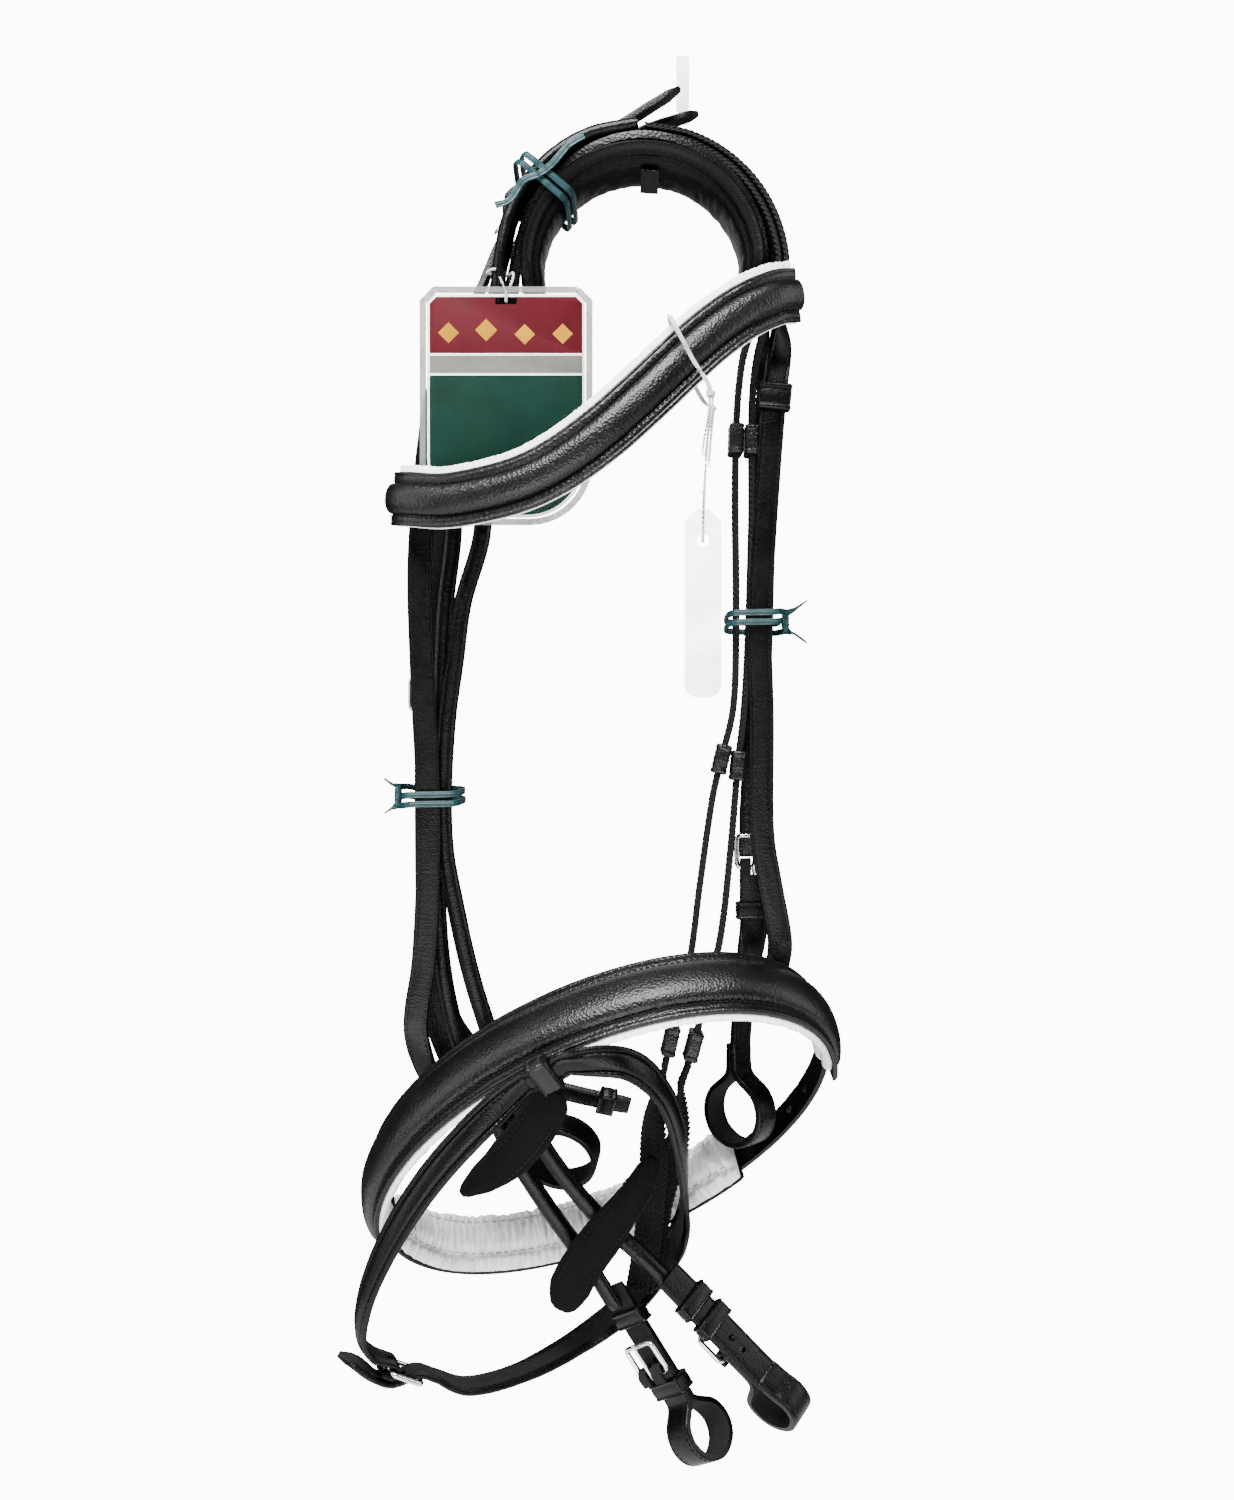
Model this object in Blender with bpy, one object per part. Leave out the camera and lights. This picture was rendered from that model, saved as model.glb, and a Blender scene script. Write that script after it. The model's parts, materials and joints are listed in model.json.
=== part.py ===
"""Dressage bridle with reins, hanging as it is sold: crown at the top, noseband at the bottom.

The origin is the hanging point under the crown. +X is to the viewer's right, -Y is the front
and +Z is up. All lengths are in metres.
"""
import math

import bmesh
import bpy
from mathutils import Vector

# Overall lay of the hanging bridle
DROP = 0.500            # crown down to the middle of the noseband
SPREAD = 0.100          # middle of the crown out to the hanging straps
DEPTH = 0.100           # how far the noseband reaches out in front
GAP = 0.0004            # clearance between pieces that touch
LOOSE = 0.0010          # clearance between straps that hang beside each other
BEND_REACH = 0.10       # length that a bend of one radian counts as when a strap is divided
OVERRUN = 0.004         # how far every cutter passes the face it cuts

# Straps: width and thickness
PAD_WIDTH = 0.058
PAD_THICK = 0.011
HEADPIECE_WIDTH = 0.050
HEADPIECE_LEG_WIDTH = 0.014
HEADPIECE_THICK = 0.0040
HEADSTRAP_WIDTH = 0.012
HEADSTRAP_THICK = 0.0032
THROATLASH_WIDTH = 0.012
THROATLASH_THICK = 0.003
CHEEK_WIDTH = 0.014
CHEEK_THICK = 0.003
ROLLED_WIDTH = 0.009
ROLLED_THICK = 0.007
WEB_WIDTH = 0.014
WEB_THICK = 0.0030
BILLET_WIDTH = 0.016
BILLET_THICK = 0.003
FLASH_WIDTH = 0.015
FLASH_THICK = 0.003

# Browband and noseband
BROWBAND_WIDTH = 0.026
BROWBAND_EDGE = 0.0022
BROWBAND_CROWN = 0.0065
BROWBAND_LINING_LIP = 0.004
BROWBAND_LINING_THICK = 0.004
NOSEBAND_WIDTH = 0.041
NOSEBAND_EDGE = 0.0024
NOSEBAND_CROWN = 0.008
NOSEBAND_LINING_LIP = 0.003
NOSEBAND_LINING_THICK = 0.006
NOSE_STRAP_WIDTH = 0.015
NOSE_STRAP_THICK = 0.003
CHIN_PAD_WIDTH = 0.034
CHIN_PAD_THICK = 0.011
CHIN_COVER_THICK = 0.003
STRAP_HOLE = 0.0042

# Buckles and keepers
BAR_RADIUS = 0.0013
TONGUE_RADIUS = 0.0010
BUCKLE_LENGTH = 0.016
SLOT_WIDTH = 0.0034
CHAPE_LENGTH = 0.004
KEEPER_LENGTH = 0.009
KEEPER_WALL = 0.0018
STOP_LENGTH = 0.015
STOP_WALL = 0.0016

# Ties, tags and strings
TIE_WIDTH = 0.0042
TIE_THICK = 0.0012
SQUARENESS_SHARE = 0.33  # from 1, a tie as round as an ellipse, to 0, a square one
CARD_WIDTH = 0.084
CARD_HEIGHT = 0.116
CARD_THICK = 0.0012
CARD_CORNER = 0.030
PRICE_WIDTH = 0.017
PRICE_HEIGHT = 0.088
PRICE_THICK = 0.0008
STRING_RADIUS = 0.0006
LABEL_WIDTH = 0.0065
LABEL_HEIGHT = 0.029
LABEL_THICK = 0.0008
CARD_EYE = 0.0060
CARD_EYE_DOWN = 0.0070
PRICE_EYE_DOWN = 0.0150
PRICE_CORNER = 0.0060
SOFT_PAD_WIDTH = 0.021
SOFT_PAD_THICK = 0.005
TOP_TIE_HALF = 0.0161
TOP_TIE_TAIL = 0.022
LEFT_TIE_SIZES = (0.0146, 0.0192, 0.008)    # half across, half out and tail
RIGHT_TIE_SIZES = (0.0133, 0.0206, 0.012)
STRING_WRAP = 0.0060    # how far a string passes from the middle of what it goes round

# Ends that loop round the bit: outer run, radius of the loop and run back
CHEEK_RUN = 0.012
CHEEK_BACK = 0.010
RIGHT_BIT_RADIUS = 0.0165
LEFT_BIT_RADIUS = 0.0185
FIRST_REIN_RUN = 0.064
FIRST_REIN_RADIUS = 0.013
SECOND_REIN_RUN = 0.062
SECOND_REIN_RADIUS = 0.014
REIN_BACK = 0.015
SEAT_BEFORE = 0.012     # rolled leather beside its billet, before and after the billet's start
SEAT_AFTER = 0.010

# Keepers: how far along their strap they sit
CHEEK_KEEPER_IN = 0.022
THROATLASH_KEEPER_IN = 0.012
REIN_KEEPER_DOWN = 0.018
SECOND_KEEPER_DOWN = 0.031
DOUBLE_KEEPER_DOWN = 0.0565

# Directions that a strap's face can look
FRONT = Vector((0, -1, 0))
BACK = Vector((0, 1, 0))
LEFT = Vector((-1, 0, 0))
RIGHT = Vector((1, 0, 0))
UP = Vector((0, 0, 1))
DOWN = Vector((0, 0, -1))


def spot(across_share, depth_share, drop_share):
    """A place given as shares of the spread, the depth and the drop."""
    return Vector((SPREAD * across_share, DEPTH * depth_share, -DROP * drop_share))


def catmull(before, start, end, after, share):
    """A point of the smooth curve between start and end."""
    square = share * share
    cube = square * share
    return 0.5 * ((2 * start) + (end - before) * share
                  + (2 * before - 5 * start + 4 * end - after) * square
                  + (3 * start - before - 3 * end + after) * cube)


class Line:
    """A smooth centre line with the direction in which its strap's face looks."""

    def __init__(self, places, facings, steps):
        points, looks = self.thicken(places, facings)
        self.lengths = [0.0]
        for one, two in zip(points, points[1:]):
            self.lengths.append(self.lengths[-1] + (two - one).length)
        self.points = points
        self.looks = looks
        self.length = self.lengths[-1]
        self.steps = steps
        self.efforts = self.weigh()

    def weigh(self):
        """Length so far at each point, with bends and twists counted as extra length."""
        efforts = [0.0]
        for index in range(1, len(self.points)):
            step = self.points[index] - self.points[index - 1]
            after = self.points[min(index + 1, len(self.points) - 1)] - self.points[index]
            bend = step.angle(after, 0.0) + self.looks[index].angle(self.looks[index - 1], 0.0)
            efforts.append(efforts[-1] + step.length + bend * BEND_REACH)
        return efforts

    def between(self, goal, known, wanted):
        """A value of one list that belongs to a goal in the other."""
        index = 0
        while index < len(known) - 2 and known[index + 1] < goal:
            index += 1
        span = known[index + 1] - known[index]
        part = (goal - known[index]) / span if span else 0.0
        return wanted[index] + (wanted[index + 1] - wanted[index]) * part

    def thicken(self, places, facings, fine=12):
        """Many points along the curve through the given places."""
        padded = [2 * places[0] - places[1]] + list(places) + [2 * places[-1] - places[-2]]
        points = []
        looks = []
        for index in range(len(places) - 1):
            for part in range(fine):
                share = part / fine
                points.append(catmull(*padded[index:index + 4], share))
                looks.append(facings[index].lerp(facings[index + 1], share))
        points.append(places[-1].copy())
        looks.append(facings[-1].copy())
        return points, looks

    def place(self, share):
        """Point and raw facing at a share of the length."""
        goal = min(max(share, 0.0), 1.0) * self.length
        index = 0
        while index < len(self.lengths) - 2 and self.lengths[index + 1] < goal:
            index += 1
        span = self.lengths[index + 1] - self.lengths[index]
        part = (goal - self.lengths[index]) / span if span else 0.0
        point = self.points[index].lerp(self.points[index + 1], part)
        look = self.looks[index].lerp(self.looks[index + 1], part)
        return point, look

    def frame(self, share):
        """Point, direction, facing and width direction at a share of the length."""
        reach = 1 / (4 * self.steps)
        ahead = self.place(min(share + reach, 1.0))[0]
        behind = self.place(max(share - reach, 0.0))[0]
        point, look = self.place(share)
        along = (ahead - behind).normalized()
        facing = (look - along * look.dot(along)).normalized()
        return point, along, facing, along.cross(facing)

    def frames(self):
        """Frames along the whole length, closer together where the line bends."""
        shares = []
        for step in range(self.steps + 1):
            effort = self.efforts[-1] * step / self.steps
            shares.append(self.between(effort, self.efforts, self.lengths) / self.length)
        return [self.frame(share) for share in shares]

    def share_of(self, length):
        """The share that a length makes of the whole line."""
        return length / self.length


def line(rows, steps):
    """A line from rows of across, depth and drop shares and a facing."""
    places = [spot(*row[:3]) for row in rows]
    return Line(places, [row[3] for row in rows], steps)


def material(name, colour, roughness, metallic=0.0, alpha=1.0):
    """A plain Principled material."""
    made = bpy.data.materials.new(name)
    made.use_nodes = True
    shader = made.node_tree.nodes["Principled BSDF"]
    shader.inputs["Base Color"].default_value = (*colour, 1.0)
    shader.inputs["Roughness"].default_value = roughness
    shader.inputs["Metallic"].default_value = metallic
    shader.inputs["Alpha"].default_value = alpha
    made.diffuse_color = (*colour, alpha)
    return made


def solid(name, mesh_data, finish, origin=None, smooth_angle=35):
    """Turns a bmesh into a named object with its origin on its joint's axis."""
    mesh_data.normal_update()
    bmesh.ops.recalc_face_normals(mesh_data, faces=mesh_data.faces)
    mesh = bpy.data.meshes.new(name)
    if origin:
        bmesh.ops.translate(mesh_data, vec=-origin, verts=mesh_data.verts)
    mesh_data.to_mesh(mesh)
    mesh_data.free()
    mesh.shade_smooth()
    mesh.set_sharp_from_angle(angle=math.radians(smooth_angle))
    made = bpy.data.objects.new(name, mesh)
    made.location = origin or Vector()
    bpy.context.scene.collection.objects.link(made)
    mesh.materials.append(finish)
    return made


def loft(rings, closed=False):
    """Joins rings of points into one skin, with caps unless it closes on itself."""
    data = bmesh.new()
    rows = [[data.verts.new(point) for point in ring] for ring in rings]
    count = len(rows[0])
    pairs = list(zip(rows, rows[1:]))
    if closed:
        pairs.append((rows[-1], rows[0]))
    for one, two in pairs:
        for index in range(count):
            after = (index + 1) % count
            data.faces.new((one[index], one[after], two[after], two[index]))
    if not closed:
        data.faces.new(rows[0])
        data.faces.new(list(reversed(rows[-1])))
    return data


def carry(frames, section, taper=None, closed=False):
    """Carries a section, given as across and out sizes, along frames."""
    rings = []
    last = len(frames) - 1
    for index, (point, _, facing, width) in enumerate(frames):
        wide = taper(index / last) if taper else 1.0
        rings.append([point + width * (across * wide) + facing * out for across, out in section])
    return loft(rings, closed)


def flat_section(width, thick, bevel_share=0.3):
    """A strap's section with bevelled corners."""
    half = width / 2
    rise = thick / 2
    bevel = thick * bevel_share
    return [(half - bevel, -rise), (half, bevel - rise), (half, rise - bevel), (half - bevel, rise),
            (bevel - half, rise), (-half, rise - bevel), (-half, bevel - rise), (bevel - half, -rise)]


def square_section(width, thick):
    """The section of a strip with square edges."""
    half = width / 2
    rise = thick / 2
    return [(half, -rise), (half, rise), (-half, rise), (-half, -rise)]


def round_section(width, thick, sides=8):
    """An oval section."""
    return [(width / 2 * math.cos(math.tau * side / sides), thick / 2 * math.sin(math.tau * side / sides))
            for side in range(sides)]


def ridged_section(width, edge, crown, ridge_share=0.62):
    """A padded band's face: flat borders and a full round ridge, on a flat back."""
    half = width / 2
    ridge = half * ridge_share
    shoulder = (crown - edge) * 0.75
    return [(half, 0), (half, edge), (ridge, edge), (ridge * 0.72, edge + shoulder), (ridge * 0.3, crown),
            (-ridge * 0.3, crown), (-ridge * 0.72, edge + shoulder), (-ridge, edge), (-half, edge),
            (-half, 0)]


def cushion_section(low, high, thick):
    """A lining's section, low edge to high edge: flat in front, three rolls and two channels behind."""
    shares = ((0.0, 0.25), (0.03, 0.7), (0.10, 0.95), (0.19, 0.75), (0.28, 0.95), (0.5, 1.0), (0.72, 0.95),
              (0.81, 0.75), (0.90, 0.95), (0.97, 0.7), (1.0, 0.25))
    span = high - low
    back = [(low + span * along, -thick * deep) for along, deep in shares]
    return [(low + thick * 0.25, 0)] + back + [(high - thick * 0.25, 0)]


def tip_taper(start_share=0.0, end_share=0.0, narrow_share=0.35):
    """Narrows a strap towards a pointed or rounded tip at its start or end."""
    def width_share(along):
        if start_share and along < start_share:
            return narrow_share + (1 - narrow_share) * math.sqrt(along / start_share)
        if end_share and along > 1 - end_share:
            return narrow_share + (1 - narrow_share) * math.sqrt((1 - along) / end_share)
        return 1.0
    return width_share


def rounded_corners(half_across, half_out, cut):
    """The eight corners of a rectangle with cut corners, in order."""
    return [(half_across, half_out - cut), (half_across - cut, half_out),
            (cut - half_across, half_out), (-half_across, half_out - cut),
            (-half_across, cut - half_out), (cut - half_across, -half_out),
            (half_across - cut, -half_out), (half_across, cut - half_out)]


def keeper(name, frame, inner_across, inner_out, wall, length, finish):
    """A leather loop with a rectangular opening, round what passes through a frame."""
    centre, along, facing, width = frame
    inside = rounded_corners(inner_across / 2, inner_out / 2, wall * 0.1)
    outside = rounded_corners(inner_across / 2 + wall, inner_out / 2 + wall, wall * 0.8)
    rings = []
    for near, far in zip(inside, outside):
        ring = []
        for (across, out), end in ((near, -1), (far, -1), (far, 1), (near, 1)):
            ring.append(centre + width * across + facing * out + along * (end * length / 2))
        rings.append(ring)
    return solid(name, loft(rings, closed=True), finish)


def wire_ring(name, centre, across, out, half_across, half_out, radius, finish, origin=None):
    """A round wire bent into a rectangle with round corners."""
    normal = across.cross(out)
    corners = rounded_corners(half_across, half_out, radius * 1.6)
    frames = []
    for index, (one, two) in enumerate(corners):
        side = Vector((1, 0)) if index in (0, 7) else Vector((-1, 0))
        if index in (1, 2):
            side = Vector((0, 1))
        if index in (5, 6):
            side = Vector((0, -1))
        slant = Vector((math.copysign(1, one), math.copysign(1, two)))
        look = side + slant.normalized()
        direction = (across * look.x + out * look.y).normalized()
        frames.append((centre + across * one + out * two, None, direction, normal))
    data = carry(frames, round_section(radius * 2, radius * 2, 6), closed=True)
    return solid(name, data, finish, origin)


def box_cutter(name, centre, along, facing, width, spans):
    """A hidden box for cutting, with its spans along, out and across."""
    data = bmesh.new()
    bmesh.ops.create_cube(data, size=1.0)
    (low_a, high_a), (low_f, high_f), half_w = spans
    for vert in data.verts:
        a = low_a + (high_a - low_a) * (vert.co.x + 0.5)
        f = low_f + (high_f - low_f) * (vert.co.y + 0.5)
        vert.co = centre + along * a + facing * f + width * (half_w * 2 * vert.co.z)
    made = solid(name, data, bpy.data.materials["cutter"])
    made.hide_render = True
    made.display_type = "WIRE"
    return made


def cut(target, cutter):
    """Takes a cutter out of a piece."""
    step = target.modifiers.new(cutter.name, "BOOLEAN")
    step.operation = "DIFFERENCE"
    step.solver = "EXACT"
    step.object = cutter


def hole(target, frame, length, bore):
    """Punches a round hole through a strap."""
    point, along, facing, width = frame
    sides = 8
    reach = length / 2 + OVERRUN
    rings = []
    for end in (-reach, reach):
        rings.append([point + facing * end
                      + along * (bore / 2 * math.cos(math.tau * side / sides))
                      + width * (bore / 2 * math.sin(math.tau * side / sides)) for side in range(sides)])
    cutter = solid(target.name + "_hole_cutter", loft(rings), bpy.data.materials["cutter"])
    cutter.hide_render = True
    cutter.display_type = "WIRE"
    cut(target, cutter)


def bar_centre(frame, thick):
    """Where a buckle's bar lies on the face at a strap's end."""
    point, _, facing, _ = frame
    return point + facing * (thick / 2 + GAP + BAR_RADIUS)


def curl_frames(frame, thick, steps=5):
    """Frames that turn a strap's end round its buckle's bar and back."""
    _, along, facing, width = frame
    bar = bar_centre(frame, thick)
    radius = thick / 2 + GAP + BAR_RADIUS
    frames = []
    for step in range(1, steps + 1):
        angle = math.pi * (step / steps - 0.5)
        out = along * math.cos(angle) + facing * math.sin(angle)
        frames.append((bar + out * radius, along, -out, width))
    end = frames[-1]
    frames.append((end[0] - along * CHAPE_LENGTH, along, end[2], width))
    return frames


def buckled_strap(name, frames, section, frame, thick, finish, taper=None):
    """A strap whose end turns round a buckle's bar, with a slot there for the tongue."""
    made = solid(name, carry(frames + curl_frames(frame, thick), section, taper), finish)
    _, along, facing, width = frame
    eye = BAR_RADIUS + GAP + TONGUE_RADIUS * 2
    reach = thick + GAP + BAR_RADIUS + OVERRUN
    under = thick + GAP * 1.5 + BAR_RADIUS
    spans = ((-eye - GAP, reach), (-under, reach), SLOT_WIDTH / 2)
    cut(made, box_cutter(name + "_slot_cutter", bar_centre(frame, thick), along, facing, width, spans))
    return made


def buckle(frame_name, tongue_name, frame, strap_width, thick, finish):
    """A wire frame and a tongue that turns on its bar."""
    _, along, facing, width = frame
    bar = bar_centre(frame, thick)
    half_across = strap_width / 2 + GAP + BAR_RADIUS
    wire_ring(frame_name, bar + along * (BUCKLE_LENGTH / 2), width, along, half_across,
              BUCKLE_LENGTH / 2, BAR_RADIUS, finish)
    turn = BAR_RADIUS + GAP + TONGUE_RADIUS
    frames = []
    for step in range(7):
        angle = math.radians(350 - 260 * step / 6)
        out = along * math.cos(angle) + facing * math.sin(angle)
        frames.append((bar + out * turn, along, out, width))
    reach = BUCKLE_LENGTH + BAR_RADIUS + TONGUE_RADIUS
    frames.append((bar + facing * turn + along * reach, along, facing, width))
    data = carry(frames, round_section(TONGUE_RADIUS * 2, TONGUE_RADIUS * 2, 6))
    solid(tongue_name, data, finish, origin=bar)
    print("hinge", tongue_name, "at", [round(value, 6) for value in bar],
          "axis", [round(value, 6) for value in width])


def clear_scene():
    """Starts from an empty scene."""
    for item in list(bpy.data.objects):
        bpy.data.objects.remove(item, do_unlink=True)


clear_scene()
LEATHER = material("black_leather", (0.012, 0.012, 0.013), 0.42)
SOFT_LEATHER = material("black_soft_leather", (0.014, 0.014, 0.016), 0.6)
WEBBING = material("black_webbing", (0.01, 0.01, 0.011), 0.85)
WHITE_LEATHER = material("white_leather", (0.82, 0.81, 0.78), 0.55)
STEEL = material("polished_steel", (0.72, 0.71, 0.68), 0.25, 1.0)
TEAL_TIE = material("teal_tie", (0.01, 0.13, 0.14), 0.45)
CARD = material("tag_card", (0.35, 0.02, 0.07), 0.4)
PAPER = material("white_paper", (0.86, 0.86, 0.85), 0.7)
COTTON = material("white_cotton", (0.8, 0.8, 0.78), 0.9)
material("cutter", (0.5, 0.5, 0.5), 0.5)

# Layers over the crown, from the padded underside outwards
ARCH_RADIUS = 0.049
ARCH_CENTRE = Vector((-0.04 * SPREAD, 0, -ARCH_RADIUS))
HEADPIECE_LEVEL = PAD_THICK + GAP * 3 + HEADPIECE_THICK / 2
ON_HEADPIECE = HEADPIECE_LEVEL + HEADPIECE_THICK / 2 + GAP
HEADSTRAP_LEVEL = ON_HEADPIECE + HEADSTRAP_THICK / 2
THROATLASH_LEVEL = ON_HEADPIECE + THROATLASH_THICK / 2
ROLLED_LEVEL = ON_HEADPIECE + GAP + ROLLED_THICK / 2
WEB_LEVEL = ON_HEADPIECE + WEB_THICK / 2
OUTER_WEB_LEVEL = WEB_LEVEL + WEB_THICK + LOOSE

# Places across the crown, front (negative) to back
HEADSTRAP_ASIDE = 0.005
STRING_ROOM = STRING_RADIUS * 2 + GAP * 2
BACK_ROLLED_ASIDE = HEADSTRAP_ASIDE - HEADSTRAP_WIDTH / 2 - GAP * 3 - BAR_RADIUS * 2 - ROLLED_WIDTH / 2
FRONT_ROLLED_ASIDE = BACK_ROLLED_ASIDE - ROLLED_WIDTH - STRING_ROOM
WEB_ASIDE = HEADSTRAP_ASIDE - HEADSTRAP_WIDTH / 2 - WEB_WIDTH / 2 - GAP
THROATLASH_ASIDE = HEADSTRAP_ASIDE + HEADSTRAP_WIDTH / 2 + THROATLASH_WIDTH / 2 + GAP * 3 + BAR_RADIUS * 2

# Lanes of the straps that hang on the left, front to back, as shares of the depth
FRONT_ROLLED_LANE = -(LOOSE + ROLLED_THICK) / 2 / DEPTH
BACK_ROLLED_LANE = -FRONT_ROLLED_LANE
LEFT_STRAP_LANE = FRONT_ROLLED_LANE - (ROLLED_THICK / 2 + LOOSE + HEADSTRAP_THICK / 2) / DEPTH
BUCKLE_RISE = CHEEK_THICK * 1.5 + GAP * 2 + BAR_RADIUS * 2
LEFT_CHEEK_LANE = BACK_ROLLED_LANE + (ROLLED_THICK / 2 + LOOSE + BUCKLE_RISE) / DEPTH
THROATLASH_LANE = LEFT_CHEEK_LANE + (HEADPIECE_THICK / 2 + LOOSE + THROATLASH_THICK / 2) / DEPTH

# Lanes of the straps that hang on the right
STOP_HALF = WEB_WIDTH / 2 + GAP + STOP_WALL
RIGHT_STRAP_LANE = -(STOP_HALF + GAP + HEADSTRAP_THICK / 2) / DEPTH
RIGHT_CHEEK_LANE = (STOP_HALF + GAP + BUCKLE_RISE) / DEPTH


def over_crown(level, aside, first, last, count):
    """Places and facings over the crown, between two angles from the right."""
    places = []
    facings = []
    for index in range(count):
        angle = math.radians(first + (last - first) * index / (count - 1))
        out = Vector((math.cos(angle), 0, math.sin(angle)))
        places.append(ARCH_CENTRE + out * (ARCH_RADIUS + level) + Vector((0, aside, 0)))
        facings.append(out)
    return places, facings


def joined(steps, *stretches):
    """One line through several stretches of places and facings."""
    places = []
    facings = []
    for stretch in stretches:
        if isinstance(stretch, tuple):
            places += stretch[0]
            facings += stretch[1]
        else:
            places += [spot(*row[:3]) for row in stretch]
            facings += [row[3] for row in stretch]
    return Line(places, facings, steps)


class NoseLoop:
    """The slanting loop that the noseband and its chin strap follow."""

    centre = spot(-0.26, -0.02, 0.945)
    sideways = spot(1.095, 0.0, -0.055)
    forward = spot(0.20, -0.48, -0.142)
    upward = forward.cross(sideways).normalized()

    def frame(self, angle, level=0.0, lift=0.0):
        """Frame at an angle from the right end, a level outside and a lift up the loop."""
        turn = math.radians(angle)
        point = self.centre + self.sideways * math.cos(turn) + self.forward * math.sin(turn)
        along = (self.forward * math.cos(turn) - self.sideways * math.sin(turn)).normalized()
        out = self.upward.cross(along).normalized()
        return point + out * level + self.upward * lift, along, out, self.upward

    def frames(self, first, last, steps, level=0.0, lift=0.0):
        """Frames between two angles."""
        return [self.frame(first + (last - first) * step / steps, level, lift) for step in range(steps + 1)]


NOSE = NoseLoop()


def crown_share(route):
    """The share of a route at which it is highest."""
    shares = [step / 200 for step in range(201)]
    return max(shares, key=lambda share: route.place(share)[0].z)


def on_noseband(angle, level, *lift_shares):
    """Places and facings on the noseband at an angle, at shares of its width above its middle."""
    frames = [NOSE.frame(angle, level, NOSEBAND_WIDTH * share) for share in lift_shares]
    return [frame[0] for frame in frames], [frame[2] for frame in frames]


def past_buckle(frame, thick, tip_thick):
    """Places and facings of a tip that lies under a buckle's frame, from the bar outwards."""
    point, along, facing, _ = frame
    under = facing * (thick / 2 - tip_thick / 2 - GAP)
    near = point + along * (thick + BAR_RADIUS + GAP * 2) + under
    return [near, near + along * BUCKLE_LENGTH * 1.3], [facing, facing]


def end_frame(places, facings):
    """The frame at the last of several places."""
    along = (places[-1] - places[-2]).normalized()
    facing = (facings[-1] - along * facings[-1].dot(along)).normalized()
    return places[-1], along, facing, along.cross(facing)


def threaded(end, thick):
    """Places and facings of a strap that comes under a frame's far bar and over its near bar."""
    _, along, facing, _ = end
    bar = bar_centre(end, thick)
    below = -(BAR_RADIUS + GAP + thick / 2)
    above = BAR_RADIUS + GAP * 2 + thick * 1.5
    shares = ((1.5, below), (1.05, below), (0.75, below * 0.4), (0.42, above * 0.6), (0.1, above),
              (-0.4, above))
    places = [bar + along * (BUCKLE_LENGTH * share) + facing * out for share, out in shares]
    return places, [facing] * len(places)


def tongue_hole(piece, end, thick):
    """The hole through which a fastened tongue passes a threaded strap."""
    _, along, facing, width = end
    turn = BAR_RADIUS + GAP + TONGUE_RADIUS
    half = TONGUE_RADIUS + GAP
    spans = ((-turn - half, BUCKLE_LENGTH), (turn - half, turn + half), SLOT_WIDTH / 2)
    name = piece.name + "_tongue_hole_cutter"
    cut(piece, box_cutter(name, bar_centre(end, thick), along, facing, width, spans))


class BitEnd:
    """The doubled end of a strap: an outer run, a round loop for the bit and a run back."""

    def __init__(self, start, down, face, thick, run, radius, back, lean_share=0.0):
        self.start = start
        self.lean_share = lean_share
        self.down = down.normalized()
        self.face = (face - self.down * face.dot(self.down)).normalized()
        self.run = run
        self.radius = radius
        self.back = back
        self.apart = thick + GAP

    def at(self, along, out=0.0):
        """A place along the outer run and out from it."""
        return self.start + self.down * along + self.face * out

    def course(self):
        """Places and facings down the outer run, round the loop and back up."""
        throat = self.run + self.radius * 0.4
        spread = self.radius * 0.1
        places = [self.at(0), self.at(self.run * 0.5), self.at(self.run), self.at(throat, spread)]
        facings = [self.face] * 4
        centre = self.at(self.run + self.radius * 1.5, -self.apart / 2 - self.radius * self.lean_share)
        for angle in (125, 85, 45, 0, -45, -85, -125):
            turn = math.radians(angle)
            out = self.down * math.cos(turn) + self.face * math.sin(turn)
            places.append(centre + out * self.radius)
            facings.append(out)
        places.append(self.at(throat, -self.apart - spread - self.radius * self.lean_share * 0.3))
        facings.append(-self.face)
        for share in (0, 0.5, 1):
            places.append(self.at(self.run - self.back * share, -self.apart))
            facings.append(-self.face)
        return places, facings

    def frame(self, along, out=0.0):
        """A frame beside the outer run, for keepers."""
        return self.at(along, out), self.down, self.face, self.down.cross(self.face)


def reverse(stretch):
    """The same stretch from its other end."""
    return list(reversed(stretch[0])), list(reversed(stretch[1]))


RIGHT_BIT = BitEnd(spot(0.46, 0.08, 0.862), Vector((0.02, 0, -1)), RIGHT * 0.75 + FRONT * 0.65,
                   CHEEK_THICK, CHEEK_RUN, RIGHT_BIT_RADIUS, CHEEK_BACK)
LEFT_BIT = BitEnd(spot(-0.76, 0.17, 0.935), Vector((0.75, 0.15, -0.55)), Vector((0.5, -0.5, 0.7)),
                  CHEEK_THICK, CHEEK_RUN, LEFT_BIT_RADIUS, CHEEK_BACK)
FIRST_REIN = BitEnd(spot(0.09, -0.12, 1.089), Vector((0.70, 0, -0.72)), Vector((0.372, -0.78, 0.496)),
                    BILLET_THICK, FIRST_REIN_RUN, FIRST_REIN_RADIUS, REIN_BACK, 0.5)
SECOND_REIN = BitEnd(spot(-0.19, -0.02, 1.105), Vector((0.536, -0.06, -0.84)), Vector((0.55, 0.75, 0.35)),
                     BILLET_THICK, SECOND_REIN_RUN, SECOND_REIN_RADIUS, REIN_BACK)


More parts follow.
